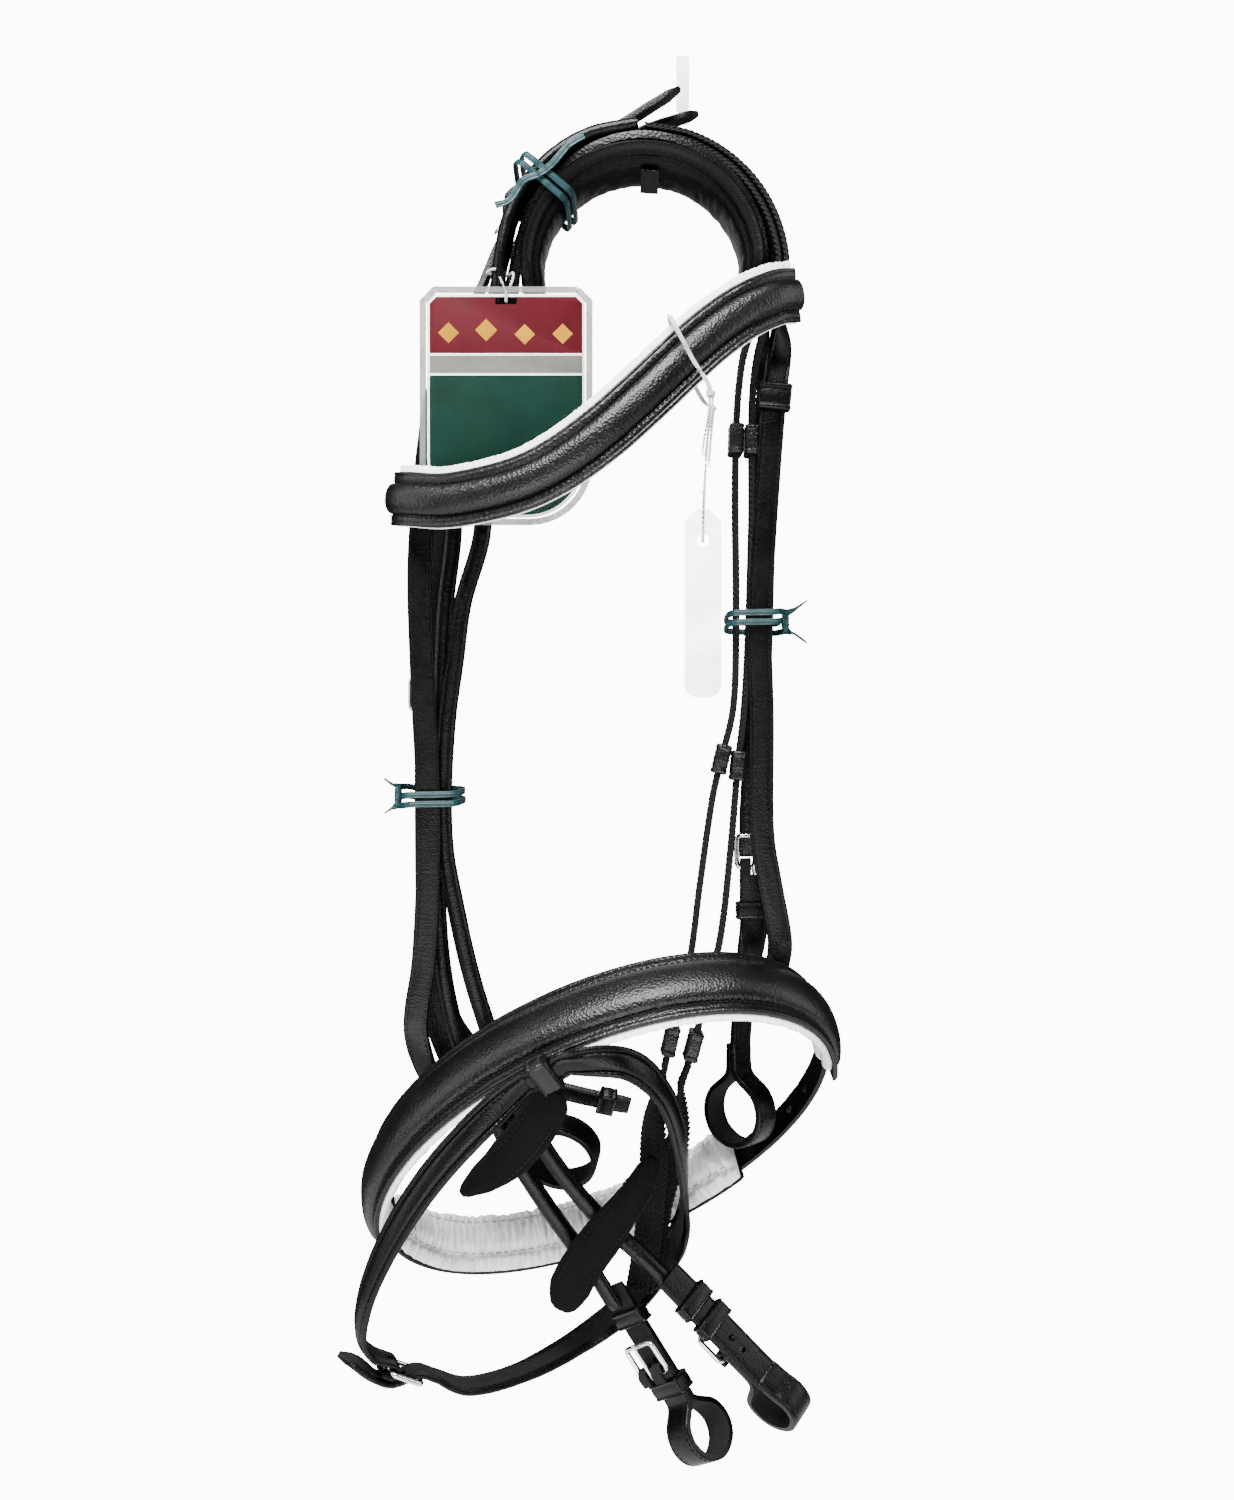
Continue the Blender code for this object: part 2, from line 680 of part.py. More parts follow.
def make_cheekpieces():
    """Both cheekpieces, buckled to the headpiece above and looped for the bit below."""
    left_shares = [(-0.95, 0.17, 0.900, FRONT), (-1.06, 0.165, 0.855, FRONT), (-1.10, 0.165, 0.800, FRONT),
                 (-1.12, LEFT_CHEEK_LANE, 0.723, FRONT), (-1.125, LEFT_CHEEK_LANE, 0.611, FRONT),
                 (-1.125, LEFT_CHEEK_LANE, 0.560, FRONT), (-1.125, LEFT_CHEEK_LANE, 0.530, FRONT)]
    right_shares = [(0.49, 0.14, 0.805, FRONT + RIGHT), (0.53, 0.175, 0.755, FRONT),
                  (0.53, RIGHT_CHEEK_LANE, 0.715, FRONT), (0.53, RIGHT_CHEEK_LANE, 0.690, FRONT)]
    ends = []
    plans = (("left", LEFT_BIT, left_shares, 44), ("right", RIGHT_BIT, right_shares, 34))
    for side, bit, rows, steps in plans:
        route = joined(steps, reverse(bit.course()), rows)
        end = end_frame([spot(*row[:3]) for row in rows], [row[3] for row in rows])
        buckled_strap("cheekpiece_" + side, route.frames(), flat_section(CHEEK_WIDTH, CHEEK_THICK), end,
                      CHEEK_THICK, LEATHER)
        buckle("cheek_buckle_" + side, "cheek_tongue_" + side, end, CHEEK_WIDTH, CHEEK_THICK, STEEL)
        ends.append((route, end))
    route, _ = ends[1]
    keeper("cheek_keeper_right", route.frame(1 - route.share_of(CHEEK_KEEPER_IN)), CHEEK_WIDTH + GAP * 2,
           CHEEK_THICK + GAP * 2, KEEPER_WALL, KEEPER_LENGTH, LEATHER)
    return ends[0][1], ends[1][1]


def make_crown(left_end, right_end):
    """The padded headpiece, whose legs run down to the cheek buckles."""
    places, facings = over_crown(PAD_THICK, 0, 190, -6, 14)
    half = PAD_WIDTH / 2
    data = carry(Line(places, facings, 24).frames(), cushion_section(-half, half, PAD_THICK),
                 tip_taper(0.06, 0.06, 0.6))
    solid("poll_pad", data, SOFT_LEATHER)
    out = Vector((0.08, 0, 1)).normalized()
    under = ARCH_CENTRE + out * (ARCH_RADIUS - GAP - KEEPER_WALL / 2)
    frames = [(under + BACK * (PAD_WIDTH * share), BACK, out, BACK.cross(out)) for share in (-0.3, 0.3)]
    solid("poll_keeper", carry(frames, flat_section(KEEPER_LENGTH, KEEPER_WALL)), LEATHER)
    left_tip = past_buckle(left_end, CHEEK_THICK, HEADPIECE_THICK)
    right_tip = past_buckle(right_end, CHEEK_THICK, HEADPIECE_THICK)
    left_leg_shares = [(-1.10, LEFT_CHEEK_LANE, 0.420, FRONT), (-1.05, LEFT_CHEEK_LANE, 0.330, FRONT),
                (-0.88, 0.12, 0.235, FRONT + LEFT), (-0.72, 0.07, 0.165, LEFT)]
    right_leg_shares = [(0.588, 0.06, 0.098, RIGHT), (0.588, 0.09, 0.128, RIGHT), (0.58, 0.11, 0.165, RIGHT),
                 (0.60, 0.15, 0.220, FRONT + RIGHT),
                 (0.58, RIGHT_CHEEK_LANE, 0.300, FRONT), (0.56, RIGHT_CHEEK_LANE, 0.440, FRONT),
                 (0.54, RIGHT_CHEEK_LANE, 0.590, FRONT)]
    route = joined(54, left_tip, left_leg_shares, over_crown(HEADPIECE_LEVEL, 0, 178, 25, 8),
                   right_leg_shares, reverse(right_tip))
    leg_share = HEADPIECE_LEG_WIDTH / HEADPIECE_WIDTH
    half_arch_share = route.share_of(math.pi / 2 * (ARCH_RADIUS + HEADPIECE_LEVEL))
    top_share = crown_share(route)

    def width_share(along):
        away = min(abs(along - top_share) / half_arch_share, 1.0)
        return leg_share + (1 - leg_share) * (0.5 + 0.5 * math.cos(math.pi * away))
    data = carry(route.frames(), flat_section(HEADPIECE_WIDTH, HEADPIECE_THICK), width_share)
    solid("headpiece", data, LEATHER)


def make_headstrap():
    """The noseband's headstrap: the right half with its buckle, the left half with its long tip."""
    inner = -(NOSEBAND_LINING_THICK + GAP * 3 + HEADSTRAP_THICK / 2)
    lane = RIGHT_STRAP_LANE
    right_shares = [(0.64, lane, 0.760, FRONT), (0.59, lane, 0.702, FRONT), (0.55, lane, 0.647, FRONT),
                  (0.55, lane, 0.540, FRONT), (0.54, lane, 0.443, FRONT), (0.57, lane, 0.334, FRONT),
                    (0.61, lane, 0.228, FRONT), (0.63, -0.10, 0.195, FRONT),
                    (0.65, -0.05, 0.165, FRONT + RIGHT * 0.6), (0.655, 0.05, 0.125, RIGHT)]
    crown = over_crown(HEADSTRAP_LEVEL, HEADSTRAP_ASIDE, 2, 150, 10)
    end = end_frame(*crown)
    route = joined(46, on_noseband(40, inner, 0.0, 0.5), right_shares, crown)
    section = flat_section(HEADSTRAP_WIDTH, HEADSTRAP_THICK)
    buckled_strap("headstrap_right", route.frames(), section, end, HEADSTRAP_THICK, LEATHER)
    buckle("headstrap_buckle", "headstrap_tongue", end, HEADSTRAP_WIDTH, HEADSTRAP_THICK, STEEL)
    keeper("browband_loop_right", route.frame(share_at_height(route, 0.223)), HEADSTRAP_WIDTH + GAP * 2,
           HEADSTRAP_THICK + GAP * 2, KEEPER_WALL, KEEPER_LENGTH * 1.5, LEATHER)

    lane = LEFT_STRAP_LANE
    left_shares = [(-1.16, lane, 0.848, FRONT), (-1.12, lane, 0.779, FRONT), (-1.10, lane, 0.700, FRONT),
                 (-1.10, lane, 0.611, FRONT), (-1.13, lane, 0.486, FRONT), (-1.14, lane, 0.380, FRONT),
                 (-1.09, lane, 0.264, FRONT), (-1.02, -0.06, 0.184, FRONT + LEFT),
                 (-0.86, 0.02, 0.115, LEFT)]
    tail_shares = [(-0.25, HEADSTRAP_ASIDE / DEPTH, -0.044, UP + LEFT * 0.8),
                 (-0.05, HEADSTRAP_ASIDE / DEPTH, -0.069, UP + LEFT * 0.8),
                 (0.15, HEADSTRAP_ASIDE / DEPTH, -0.094, UP + LEFT * 0.8)]
    tip = joined(58, on_noseband(151, inner, 0.0, 0.5), left_shares, threaded(end, HEADSTRAP_THICK),
                 tail_shares)
    made = solid("headstrap_left", carry(tip.frames(), section, tip_taper(end_share=0.012)), LEATHER)
    tongue_hole(made, end, HEADSTRAP_THICK)
    keeper("browband_loop_left", tip.frame(share_at_height(tip, 0.330)), HEADSTRAP_WIDTH + GAP * 2,
           HEADSTRAP_THICK + GAP * 2, KEEPER_WALL, KEEPER_LENGTH * 1.5, LEATHER)


def make_throatlash():
    """The throatlash, folded down the left bundle with its tip over the crown."""
    lane = THROATLASH_LANE
    hanging_shares = [(-0.10, 0.20, 0.935, DOWN + FRONT), (-0.40, 0.20, 0.922, DOWN + FRONT),
            (-0.70, 0.22, 0.905, FRONT + DOWN), (-0.95, 0.23, 0.870, FRONT),
            (-1.09, 0.22, 0.810, FRONT), (-1.13, lane, 0.720, FRONT), (-1.13, lane, 0.611, FRONT),
            (-1.12, lane, 0.450, FRONT), (-1.10, lane + 0.01, 0.310, FRONT),
            (-0.98, 0.25, 0.215, FRONT + LEFT),
            (-0.81, 0.23, 0.150, LEFT)]
    aside = THROATLASH_ASIDE / DEPTH
    tail_shares = [(-0.05, aside, -0.060, UP), (0.25, aside, -0.080, UP)]
    crown = over_crown(THROATLASH_LEVEL, THROATLASH_ASIDE, 176, 116, 5)
    route = joined(50, hanging_shares, crown, tail_shares)
    section = flat_section(THROATLASH_WIDTH, THROATLASH_THICK)
    solid("throatlash", carry(route.frames(), section, tip_taper(end_share=0.02)), LEATHER)
    keeper("throatlash_keeper", route.frame(route.share_of(THROATLASH_KEEPER_IN)),
           THROATLASH_WIDTH + GAP * 2, THROATLASH_THICK + GAP * 2, KEEPER_WALL, KEEPER_LENGTH, LEATHER)


def make_reins():
    """Both reins: rolled leather on the left, webbing with hand stops on the right."""
    lane = FRONT_ROLLED_LANE
    first_shares = [(-0.77, -0.13, 0.160, LEFT + FRONT), (-0.81, -0.06, 0.222, FRONT + LEFT),
                  (-0.83, lane, 0.302, FRONT), (-0.84, lane, 0.360, FRONT), (-0.93, lane, 0.423, FRONT),
                  (-0.97, lane, 0.481, FRONT), (-1.01, lane, 0.541, FRONT), (-1.03, lane, 0.611, FRONT),
                  (-1.02, lane, 0.671, FRONT), (-0.97, lane, 0.725, FRONT), (-0.90, lane, 0.788, FRONT),
                  (-0.81, lane, 0.847, FRONT), (-0.71, lane, 0.900, FRONT), (-0.59, lane, 0.947, FRONT),
                  (-0.43, lane, 0.995, FRONT), (-0.24, lane, 1.039, FRONT)]
    lane = BACK_ROLLED_LANE
    second_shares = [(-0.82, -0.02, 0.160, LEFT + FRONT), (-0.92, 0.00, 0.222, FRONT + LEFT),
                   (-0.98, lane, 0.302, FRONT), (-0.99, lane, 0.360, FRONT), (-1.03, lane, 0.430, FRONT),
                   (-1.05, lane, 0.521, FRONT), (-1.07, lane, 0.611, FRONT), (-1.07, lane, 0.702, FRONT),
                   (-1.05, lane, 0.775, FRONT), (-1.00, lane, 0.834, FRONT), (-0.92, lane, 0.883, FRONT),
                   (-0.80, lane, 0.933, FRONT), (-0.65, lane, 0.988, FRONT), (-0.50, lane, 1.034, FRONT),
                   (-0.37, lane, 1.070, FRONT)]
    section = round_section(ROLLED_WIDTH, ROLLED_THICK)
    for side, aside, rows, bit, steps in (("left", FRONT_ROLLED_ASIDE, first_shares, FIRST_REIN, 44),
                                          ("right", BACK_ROLLED_ASIDE, second_shares, SECOND_REIN, 42)):
        behind = -(BILLET_THICK / 2 + GAP + ROLLED_THICK / 2)
        seat = ([bit.at(-SEAT_BEFORE, behind), bit.at(SEAT_AFTER, behind)], [bit.face, bit.face])
        if side == "right":
            seat = (seat[0], [-bit.face, -bit.face])
        route = joined(steps, over_crown(ROLLED_LEVEL, aside, 92, 176, 5), rows, seat)
        solid("rein_rolled_" + side, carry(route.frames(), section), LEATHER)
    first_web_shares = [(0.56, -0.11, 0.132, RIGHT), (0.48, -0.08, 0.168, RIGHT), (0.45, -0.04, 0.195, RIGHT),
                 (0.432, 0.0, 0.243, RIGHT), (0.425, 0.0, 0.321, RIGHT), (0.43, 0.0, 0.421, RIGHT),
                 (0.42, 0.0, 0.521, RIGHT),
                 (0.36, 0.0, 0.577, RIGHT), (0.31, 0.0, 0.621, RIGHT), (0.25, 0.0, 0.704, RIGHT),
                 (0.20, 0.0, 0.779, RIGHT), (0.115, 0.0, 0.850, RIGHT), (0.07, 0.0, 0.890, RIGHT),
                 (0.02, 0.05, 0.940, RIGHT + FRONT), (0.02, 0.072, 0.985, FRONT), (0.01, 0.09, 1.030, FRONT),
                 (-0.02, 0.10, 1.080, FRONT), (-0.05, 0.10, 1.115, FRONT)]
    second_web_shares = [(0.615, -0.12, 0.125, RIGHT), (0.555, -0.09, 0.160, RIGHT),
                         (0.52, -0.04, 0.195, RIGHT),
                  (0.508, 0.0, 0.243, RIGHT), (0.508, 0.0, 0.341, RIGHT), (0.49, 0.0, 0.461, RIGHT),
                  (0.47, 0.0, 0.531, RIGHT),
                  (0.44, 0.0, 0.584, RIGHT), (0.40, 0.0, 0.676, RIGHT), (0.35, 0.0, 0.760, RIGHT),
                  (0.25, 0.0, 0.841, RIGHT), (0.19, 0.0, 0.885, RIGHT), (0.15, 0.015, 0.912, RIGHT),
                         (0.15, 0.13, 0.955, RIGHT + FRONT), (0.11, 0.165, 0.990, FRONT),
                         (0.05, 0.158, 1.030, FRONT), (0.01, 0.155, 1.080, FRONT),
                         (-0.02, 0.155, 1.115, FRONT)]
    stops = {"left": (0.262, 0.580, 0.862), "right": (0.262, 0.586, 0.866)}
    plans = (("left", WEB_LEVEL, first_web_shares), ("right", OUTER_WEB_LEVEL, second_web_shares))
    for side, level, rows in plans:
        route = joined(44, over_crown(level, WEB_ASIDE, 88, 2, 6), rows)
        solid("rein_web_" + side, carry(route.frames(), square_section(WEB_WIDTH, WEB_THICK)), WEBBING)
        for index, drop_share in enumerate(stops[side]):
            seat = route.frame(share_at_height(route, drop_share))
            keeper("hand_stop_" + side + "_" + str(index + 1), seat, WEB_WIDTH + GAP * 2,
                   WEB_THICK + GAP * 2, STOP_WALL, STOP_LENGTH, LEATHER)


def share_at_height(route, drop_share):
    """The share of a route at which it is a share of the drop below the hanging point."""
    shares = [step / 400 for step in range(401)]
    return min(shares, key=lambda share: abs(route.place(share)[0].z + DROP * drop_share))


def make_rein_ends():
    """The billets that loop round the bit, with their buckles and keepers."""
    plans = (("left", FIRST_REIN, ((REIN_KEEPER_DOWN, 1), (SECOND_KEEPER_DOWN, 1))),
             ("right", SECOND_REIN, ((REIN_KEEPER_DOWN, 1), (DOUBLE_KEEPER_DOWN, 2))))
    for side, bit, keepers in plans:
        places, facings = bit.course()
        route = Line(places, facings, 32)
        end = end_frame(places, facings)
        section = flat_section(BILLET_WIDTH, BILLET_THICK)
        buckled_strap("rein_billet_" + side, route.frames(), section, end, BILLET_THICK, LEATHER)
        buckle("rein_buckle_" + side, "rein_tongue_" + side, end, BILLET_WIDTH, BILLET_THICK, STEEL)
        for index, (along, runs) in enumerate(keepers):
            out = -bit.apart / 2 * (runs - 1)
            tall = BILLET_THICK + bit.apart * (runs - 1) + GAP * 2
            keeper("rein_keeper_" + side + "_" + str(index + 1), bit.frame(along, out),
                   BILLET_WIDTH + GAP * 2, tall, KEEPER_WALL, KEEPER_LENGTH, LEATHER)


def make_noseband():
    """The padded front band, its lining, the strap with holes and the chin pad."""
    face = ridged_section(NOSEBAND_WIDTH, NOSEBAND_EDGE, NOSEBAND_CROWN)
    solid("noseband_front", carry(NOSE.frames(9, 202, 34), face), LEATHER)
    half = NOSEBAND_WIDTH / 2
    lining = cushion_section(-half - NOSEBAND_LINING_LIP, half - GAP, NOSEBAND_LINING_THICK)
    solid("noseband_lining", carry(NOSE.frames(9, 202, 34, level=-GAP), lining), WHITE_LEATHER)
    section = flat_section(NOSE_STRAP_WIDTH, NOSE_STRAP_THICK)
    data = carry(NOSE.frames(8.6, -100, 24), section, tip_taper(end_share=0.06))
    made = solid("noseband_strap", data, LEATHER)
    for angle in (0, -9, -18, -27):
        hole(made, NOSE.frame(angle), NOSE_STRAP_THICK, STRAP_HOLE)
    level = -(NOSE_STRAP_THICK / 2 + GAP + CHIN_COVER_THICK)
    cover_half = CHIN_PAD_WIDTH / 2
    cover = [(cover_half, 0), (cover_half, CHIN_COVER_THICK), (-cover_half, CHIN_COVER_THICK),
             (-cover_half, 0)]
    solid("chin_pad_cover", carry(NOSE.frames(-38, -156, 20, level=level), cover), LEATHER)
    cushion = cushion_section(-cover_half, cover_half, CHIN_PAD_THICK)
    solid("chin_pad", carry(NOSE.frames(-38, -156, 20, level=level - GAP), cushion), WHITE_LEATHER)


def make_flash():
    """The flash strap through its loop on the noseband, with its two soft pads and buckle."""
    below = -(NOSEBAND_WIDTH / 2 + NOSEBAND_LINING_LIP + GAP * 2 + KEEPER_WALL + FLASH_THICK / 2)
    seat = NOSE.frame(115, 0, below)
    first_shares = [(-1.52, -0.25, 1.158, DOWN + LEFT * 0.3), (-1.44, -0.25, 1.166, DOWN + LEFT * 0.3)]
    run_shares = [(-0.90, -0.10, 1.200, DOWN + BACK * 0.3), (-0.65, 0.00, 1.194, DOWN + BACK * 0.3),
                (-0.38, 0.14, 1.174, DOWN + BACK * 0.6), (-0.10, 0.22, 1.137, BACK + DOWN * 0.5),
                (0.10, 0.205, 1.085, BACK + RIGHT * 0.5), (0.165, 0.09, 1.050, RIGHT + BACK * 0.5),
                (0.17, 0.00, 1.015, RIGHT),
                (0.14, -0.26, 0.950, RIGHT + FRONT * 0.6), (0.05, -0.50, 0.895, RIGHT + FRONT + UP * 0.5),
                (-0.12, -0.66, 0.862, FRONT + UP * 0.3)]
    last_shares = [(-0.84, -0.69, 0.925, FRONT + LEFT * 0.4), (-1.04, -0.63, 0.972, FRONT + LEFT * 0.6),
                 (-1.22, -0.55, 1.028, FRONT + LEFT), (-1.35, -0.44, 1.085, LEFT + FRONT * 0.6),
                 (-1.40, -0.34, 1.132, LEFT + FRONT * 0.3 + DOWN * 0.3),
                 (-1.36, -0.27, 1.156, LEFT + DOWN), (-1.26, -0.23, 1.166, DOWN + LEFT * 0.4)]
    end = end_frame([spot(*row[:3]) for row in last_shares], [row[3] for row in last_shares])
    seats = [seat[0] + seat[1] * (FLASH_WIDTH * share) for share in (-0.9, -0.45, 0, 0.45, 0.9)]
    through_loop = (seats, [-seat[3]] * len(seats))
    route = joined(60, first_shares, reverse(threaded(end, FLASH_THICK)), run_shares, through_loop,
                   last_shares)
    section = flat_section(FLASH_WIDTH, FLASH_THICK)
    made = buckled_strap("flash_strap", route.frames(), section, end, FLASH_THICK, LEATHER,
                         tip_taper(start_share=0.015))
    tongue_hole(made, end, FLASH_THICK)
    buckle("flash_buckle", "flash_tongue", end, FLASH_WIDTH, FLASH_THICK, STEEL)
    loop_frame = (seat[0], seat[1], -seat[3], seat[1].cross(-seat[3]))
    keeper("flash_loop", loop_frame, FLASH_WIDTH + GAP * 2, FLASH_THICK + GAP * 2, KEEPER_WALL,
           KEEPER_LENGTH * 1.3, LEATHER)
    pads = (("flash_pad_upper", [(-0.46, -0.575, 0.8875, FRONT), (-0.55, -0.55, 0.925, FRONT),
                                 (-0.70, -0.52, 0.960, FRONT), (-0.90, -0.50, 0.990, FRONT)]),
            ("flash_pad_lower", [(0.02, -0.117, 0.972, FRONT), (-0.08, -0.117, 1.010, FRONT),
                                 (-0.25, -0.117, 1.055, FRONT), (-0.37, -0.117, 1.090, FRONT),
                                 (-0.44, -0.117, 1.124, FRONT)]))
    for name, rows in pads:
        section = round_section(SOFT_PAD_WIDTH, SOFT_PAD_THICK, 10)
        solid(name, carry(line(rows, 12).frames(), section, tip_taper(0.25, 0.2, 0.45)), SOFT_LEATHER)


def make_browband():
    """The padded browband with its white lining."""
    band_shares = [(-1.25, -0.18, 0.325, LEFT + FRONT), (-1.17, -0.28, 0.328, LEFT + FRONT * 2),
            (-0.96, -0.39, 0.332, FRONT), (-0.66, -0.49, 0.322, FRONT), (-0.45, -0.53, 0.304, FRONT),
            (-0.24, -0.55, 0.275, FRONT), (-0.04, -0.53, 0.239, FRONT), (0.23, -0.46, 0.186, FRONT),
            (0.43, -0.38, 0.153, FRONT), (0.60, -0.30, 0.134, FRONT * 2 + RIGHT),
            (0.71, -0.21, 0.127, FRONT + RIGHT * 1.5)]
    frames = line(band_shares, 30).frames()
    solid("browband", carry(frames, ridged_section(BROWBAND_WIDTH, BROWBAND_EDGE, BROWBAND_CROWN)), LEATHER)
    half = BROWBAND_WIDTH / 2
    lining = cushion_section(-half - BROWBAND_LINING_LIP, half + GAP, BROWBAND_LINING_THICK)
    behind = LOOSE + GAP
    frames = [(item[0] - item[2] * behind, *item[1:]) for item in frames]
    solid("browband_lining", carry(frames, lining), WHITE_LEATHER)


def wrapped(middle, wrap_shares):
    """Places to the left, in front and above a middle, as shares of a string's wrap."""
    return [middle + (LEFT * left + FRONT * front + UP * up) * STRING_WRAP for left, front, up in wrap_shares]


def string(name, places, steps):
    """A cotton string through places."""
    route = Line(places, [side_look(places, index) for index in range(len(places))], steps)
    solid(name, carry(route.frames(), round_section(STRING_RADIUS * 2, STRING_RADIUS * 2, 6)), COTTON)


def side_look(places, index):
    """A direction that is square to a string at one of its places."""
    ahead = places[min(index + 1, len(places) - 1)]
    behind = places[max(index - 1, 0)]
    along = (ahead - behind).normalized()
    return along.cross(Vector((0.31, 0.17, 0.93))).normalized()


def tie(name, centre, across, out, half_across, half_out, tail):
    """A flat plastic strip twice round a bundle, with its two loose ends at the knot."""
    up = across.cross(out)
    knot = centre - across * (half_across + TIE_THICK + GAP) - out * half_out * 0.3
    pitch = TIE_WIDTH + GAP
    places = [knot - across * tail - up * (pitch + tail * 0.5), knot - across * tail * 0.3 - up * pitch * 1.1]
    facings = [-across + up, -across - out * 0.5]
    turns = 32
    for step in range(turns + 1):
        angle = math.tau * (0.55 + step / turns * 1.94)
        wide = math.copysign(abs(math.cos(angle)) ** SQUARENESS_SHARE, math.cos(angle))
        deep = math.copysign(abs(math.sin(angle)) ** SQUARENESS_SHARE, math.sin(angle))
        places.append(centre + across * (wide * half_across) + out * (deep * half_out)
                      + up * (pitch * 2 * (step / turns - 0.5)))
        facings.append((across * wide / half_across + out * deep / half_out).normalized())
    places.append(knot - across * tail * 0.3 + up * pitch * 1.1)
    places.append(knot - across * tail + up * (pitch + tail * 0.5))
    facings += [-across - out * 0.5, -across - up]
    route = Line(places, facings, 56)
    solid(name, carry(route.frames(), square_section(TIE_WIDTH, TIE_THICK)), TEAL_TIE)


def make_ties():
    """The three plastic ties that hold the straps together."""
    angle = math.radians(139)
    radial = Vector((math.cos(angle), 0, math.sin(angle)))
    centre = ARCH_CENTRE + radial * (ARCH_RADIUS + TOP_TIE_HALF - TIE_THICK / 2 - LOOSE)
    tie("tie_top", centre, BACK * -1, radial * -1, PAD_WIDTH / 2 + TIE_THICK + GAP,
        TOP_TIE_HALF, TOP_TIE_TAIL)
    tie("tie_left", spot(-1.085, 0.050, 0.617), RIGHT, BACK, *LEFT_TIE_SIZES)
    tie("tie_right", spot(0.515, 0.04, 0.443), LEFT, BACK, *RIGHT_TIE_SIZES)


def slab(name, centre, across, up, outline, thick, finish, origin=None, eye=None):
    """A flat card from an outline, with an eye for its string."""
    out = across.cross(up)
    rings = []
    for end in (-thick / 2, thick / 2):
        rings.append([centre + across * wide + up * high + out * end for wide, high in outline])
    made = solid(name, loft(rings), finish, origin)
    if eye:
        point = centre + across * eye[0] + up * eye[1]
        hole(made, (point, up, out, across), thick, eye[2])
    return made


def card_outline(width, height, corner, top_corner, steps=5):
    """A card's outline with round bottom corners and cut top corners."""
    half = width / 2
    outline = [(half - top_corner, height / 2), (top_corner - half, height / 2),
               (-half, height / 2 - top_corner)]
    for side in (-1, 1):
        for step in range(steps + 1):
            angle = math.pi / 2 * (step / steps)
            if side > 0:
                angle = math.pi / 2 - angle
            outline.append((side * (half - corner + corner * math.cos(angle)),
                            corner - height / 2 - corner * math.sin(angle)))
    outline.append((half, height / 2 - top_corner))
    return outline


def make_tags():
    """The swing tag, the price tag, their strings and the size label."""
    eye = spot(-0.705, -0.24, 0.134)
    eye_up = CARD_HEIGHT / 2 - CARD_EYE_DOWN
    slab("swing_tag", eye - UP * eye_up, RIGHT, UP,
         card_outline(CARD_WIDTH, CARD_HEIGHT, CARD_CORNER, CARD_EYE), CARD_THICK, CARD, eye,
         (0, eye_up, CARD_EYE))
    rein = spot(-0.735, -0.19, 0.104)
    round_shares = ((0.33, 1.25, 0), (0.74, 0.95, 0), (1.07, 0, 0), (0.33, -0.87, 0), (-0.5, -0.87, 0),
                    (-1, 0, 0), (-1.03, 0.58, -0.67))
    eye_shares = ((0, -0.27, 0.5), (0, 0, 0), (0, 0.33, 0.67))
    places = wrapped(rein, round_shares) + wrapped(eye, eye_shares) + wrapped(rein, ((0, 1.42, -0.67),))
    string("swing_string", places, 36)
    eye = spot(0.235, -0.62, 0.376)
    eye_up = PRICE_HEIGHT / 2 - PRICE_EYE_DOWN
    slab("price_tag", eye - UP * eye_up, RIGHT, UP,
         card_outline(PRICE_WIDTH, PRICE_HEIGHT, PRICE_CORNER, PRICE_CORNER), PRICE_THICK, PAPER, eye,
         (0, eye_up, CARD_EYE))
    string_shares = ((0.235, -0.62, 0.290), (0.265, -0.61, 0.238), (0.18, -0.60, 0.205),
                     (0.085, -0.58, 0.168), (0.08, -0.50, 0.1618), (0.09, -0.41, 0.166),
                     (0.14, -0.366, 0.195), (0.24, -0.368, 0.235), (0.285, -0.47, 0.245),
                     (0.27, -0.585, 0.256), (0.25, -0.605, 0.300))
    eye_shares = ((0, -0.3, 0.67), (0, 0, 0), (0, 0.3, 0.67), (0, 0.5, 3.33))
    string("price_string", [spot(*row) for row in string_shares] + wrapped(eye, eye_shares), 46)
    label = spot(0.17, THROATLASH_ASIDE / DEPTH, -0.110)
    slab("size_label", label, RIGHT, UP, card_outline(LABEL_WIDTH, LABEL_HEIGHT, LABEL_THICK, LABEL_THICK, 1),
         LABEL_THICK, PAPER)


def finish_model():
    """Builds every piece."""
    left_end, right_end = make_cheekpieces()
    make_crown(left_end, right_end)
    make_headstrap()
    make_throatlash()
    make_reins()
    make_rein_ends()
    make_noseband()
    make_flash()
    make_browband()
    make_ties()
    make_tags()


finish_model()
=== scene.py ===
"""Looks of a dressage bridle with reins, hanging as it is sold.

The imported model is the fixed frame. Each strap, pad and fitting here follows the same route as its
solid, with the stitching, padding, plaiting and leather of the real thing. All lengths are in metres.
"""
import json
import math

import bmesh
import bpy
from mathutils import Matrix, Vector, noise

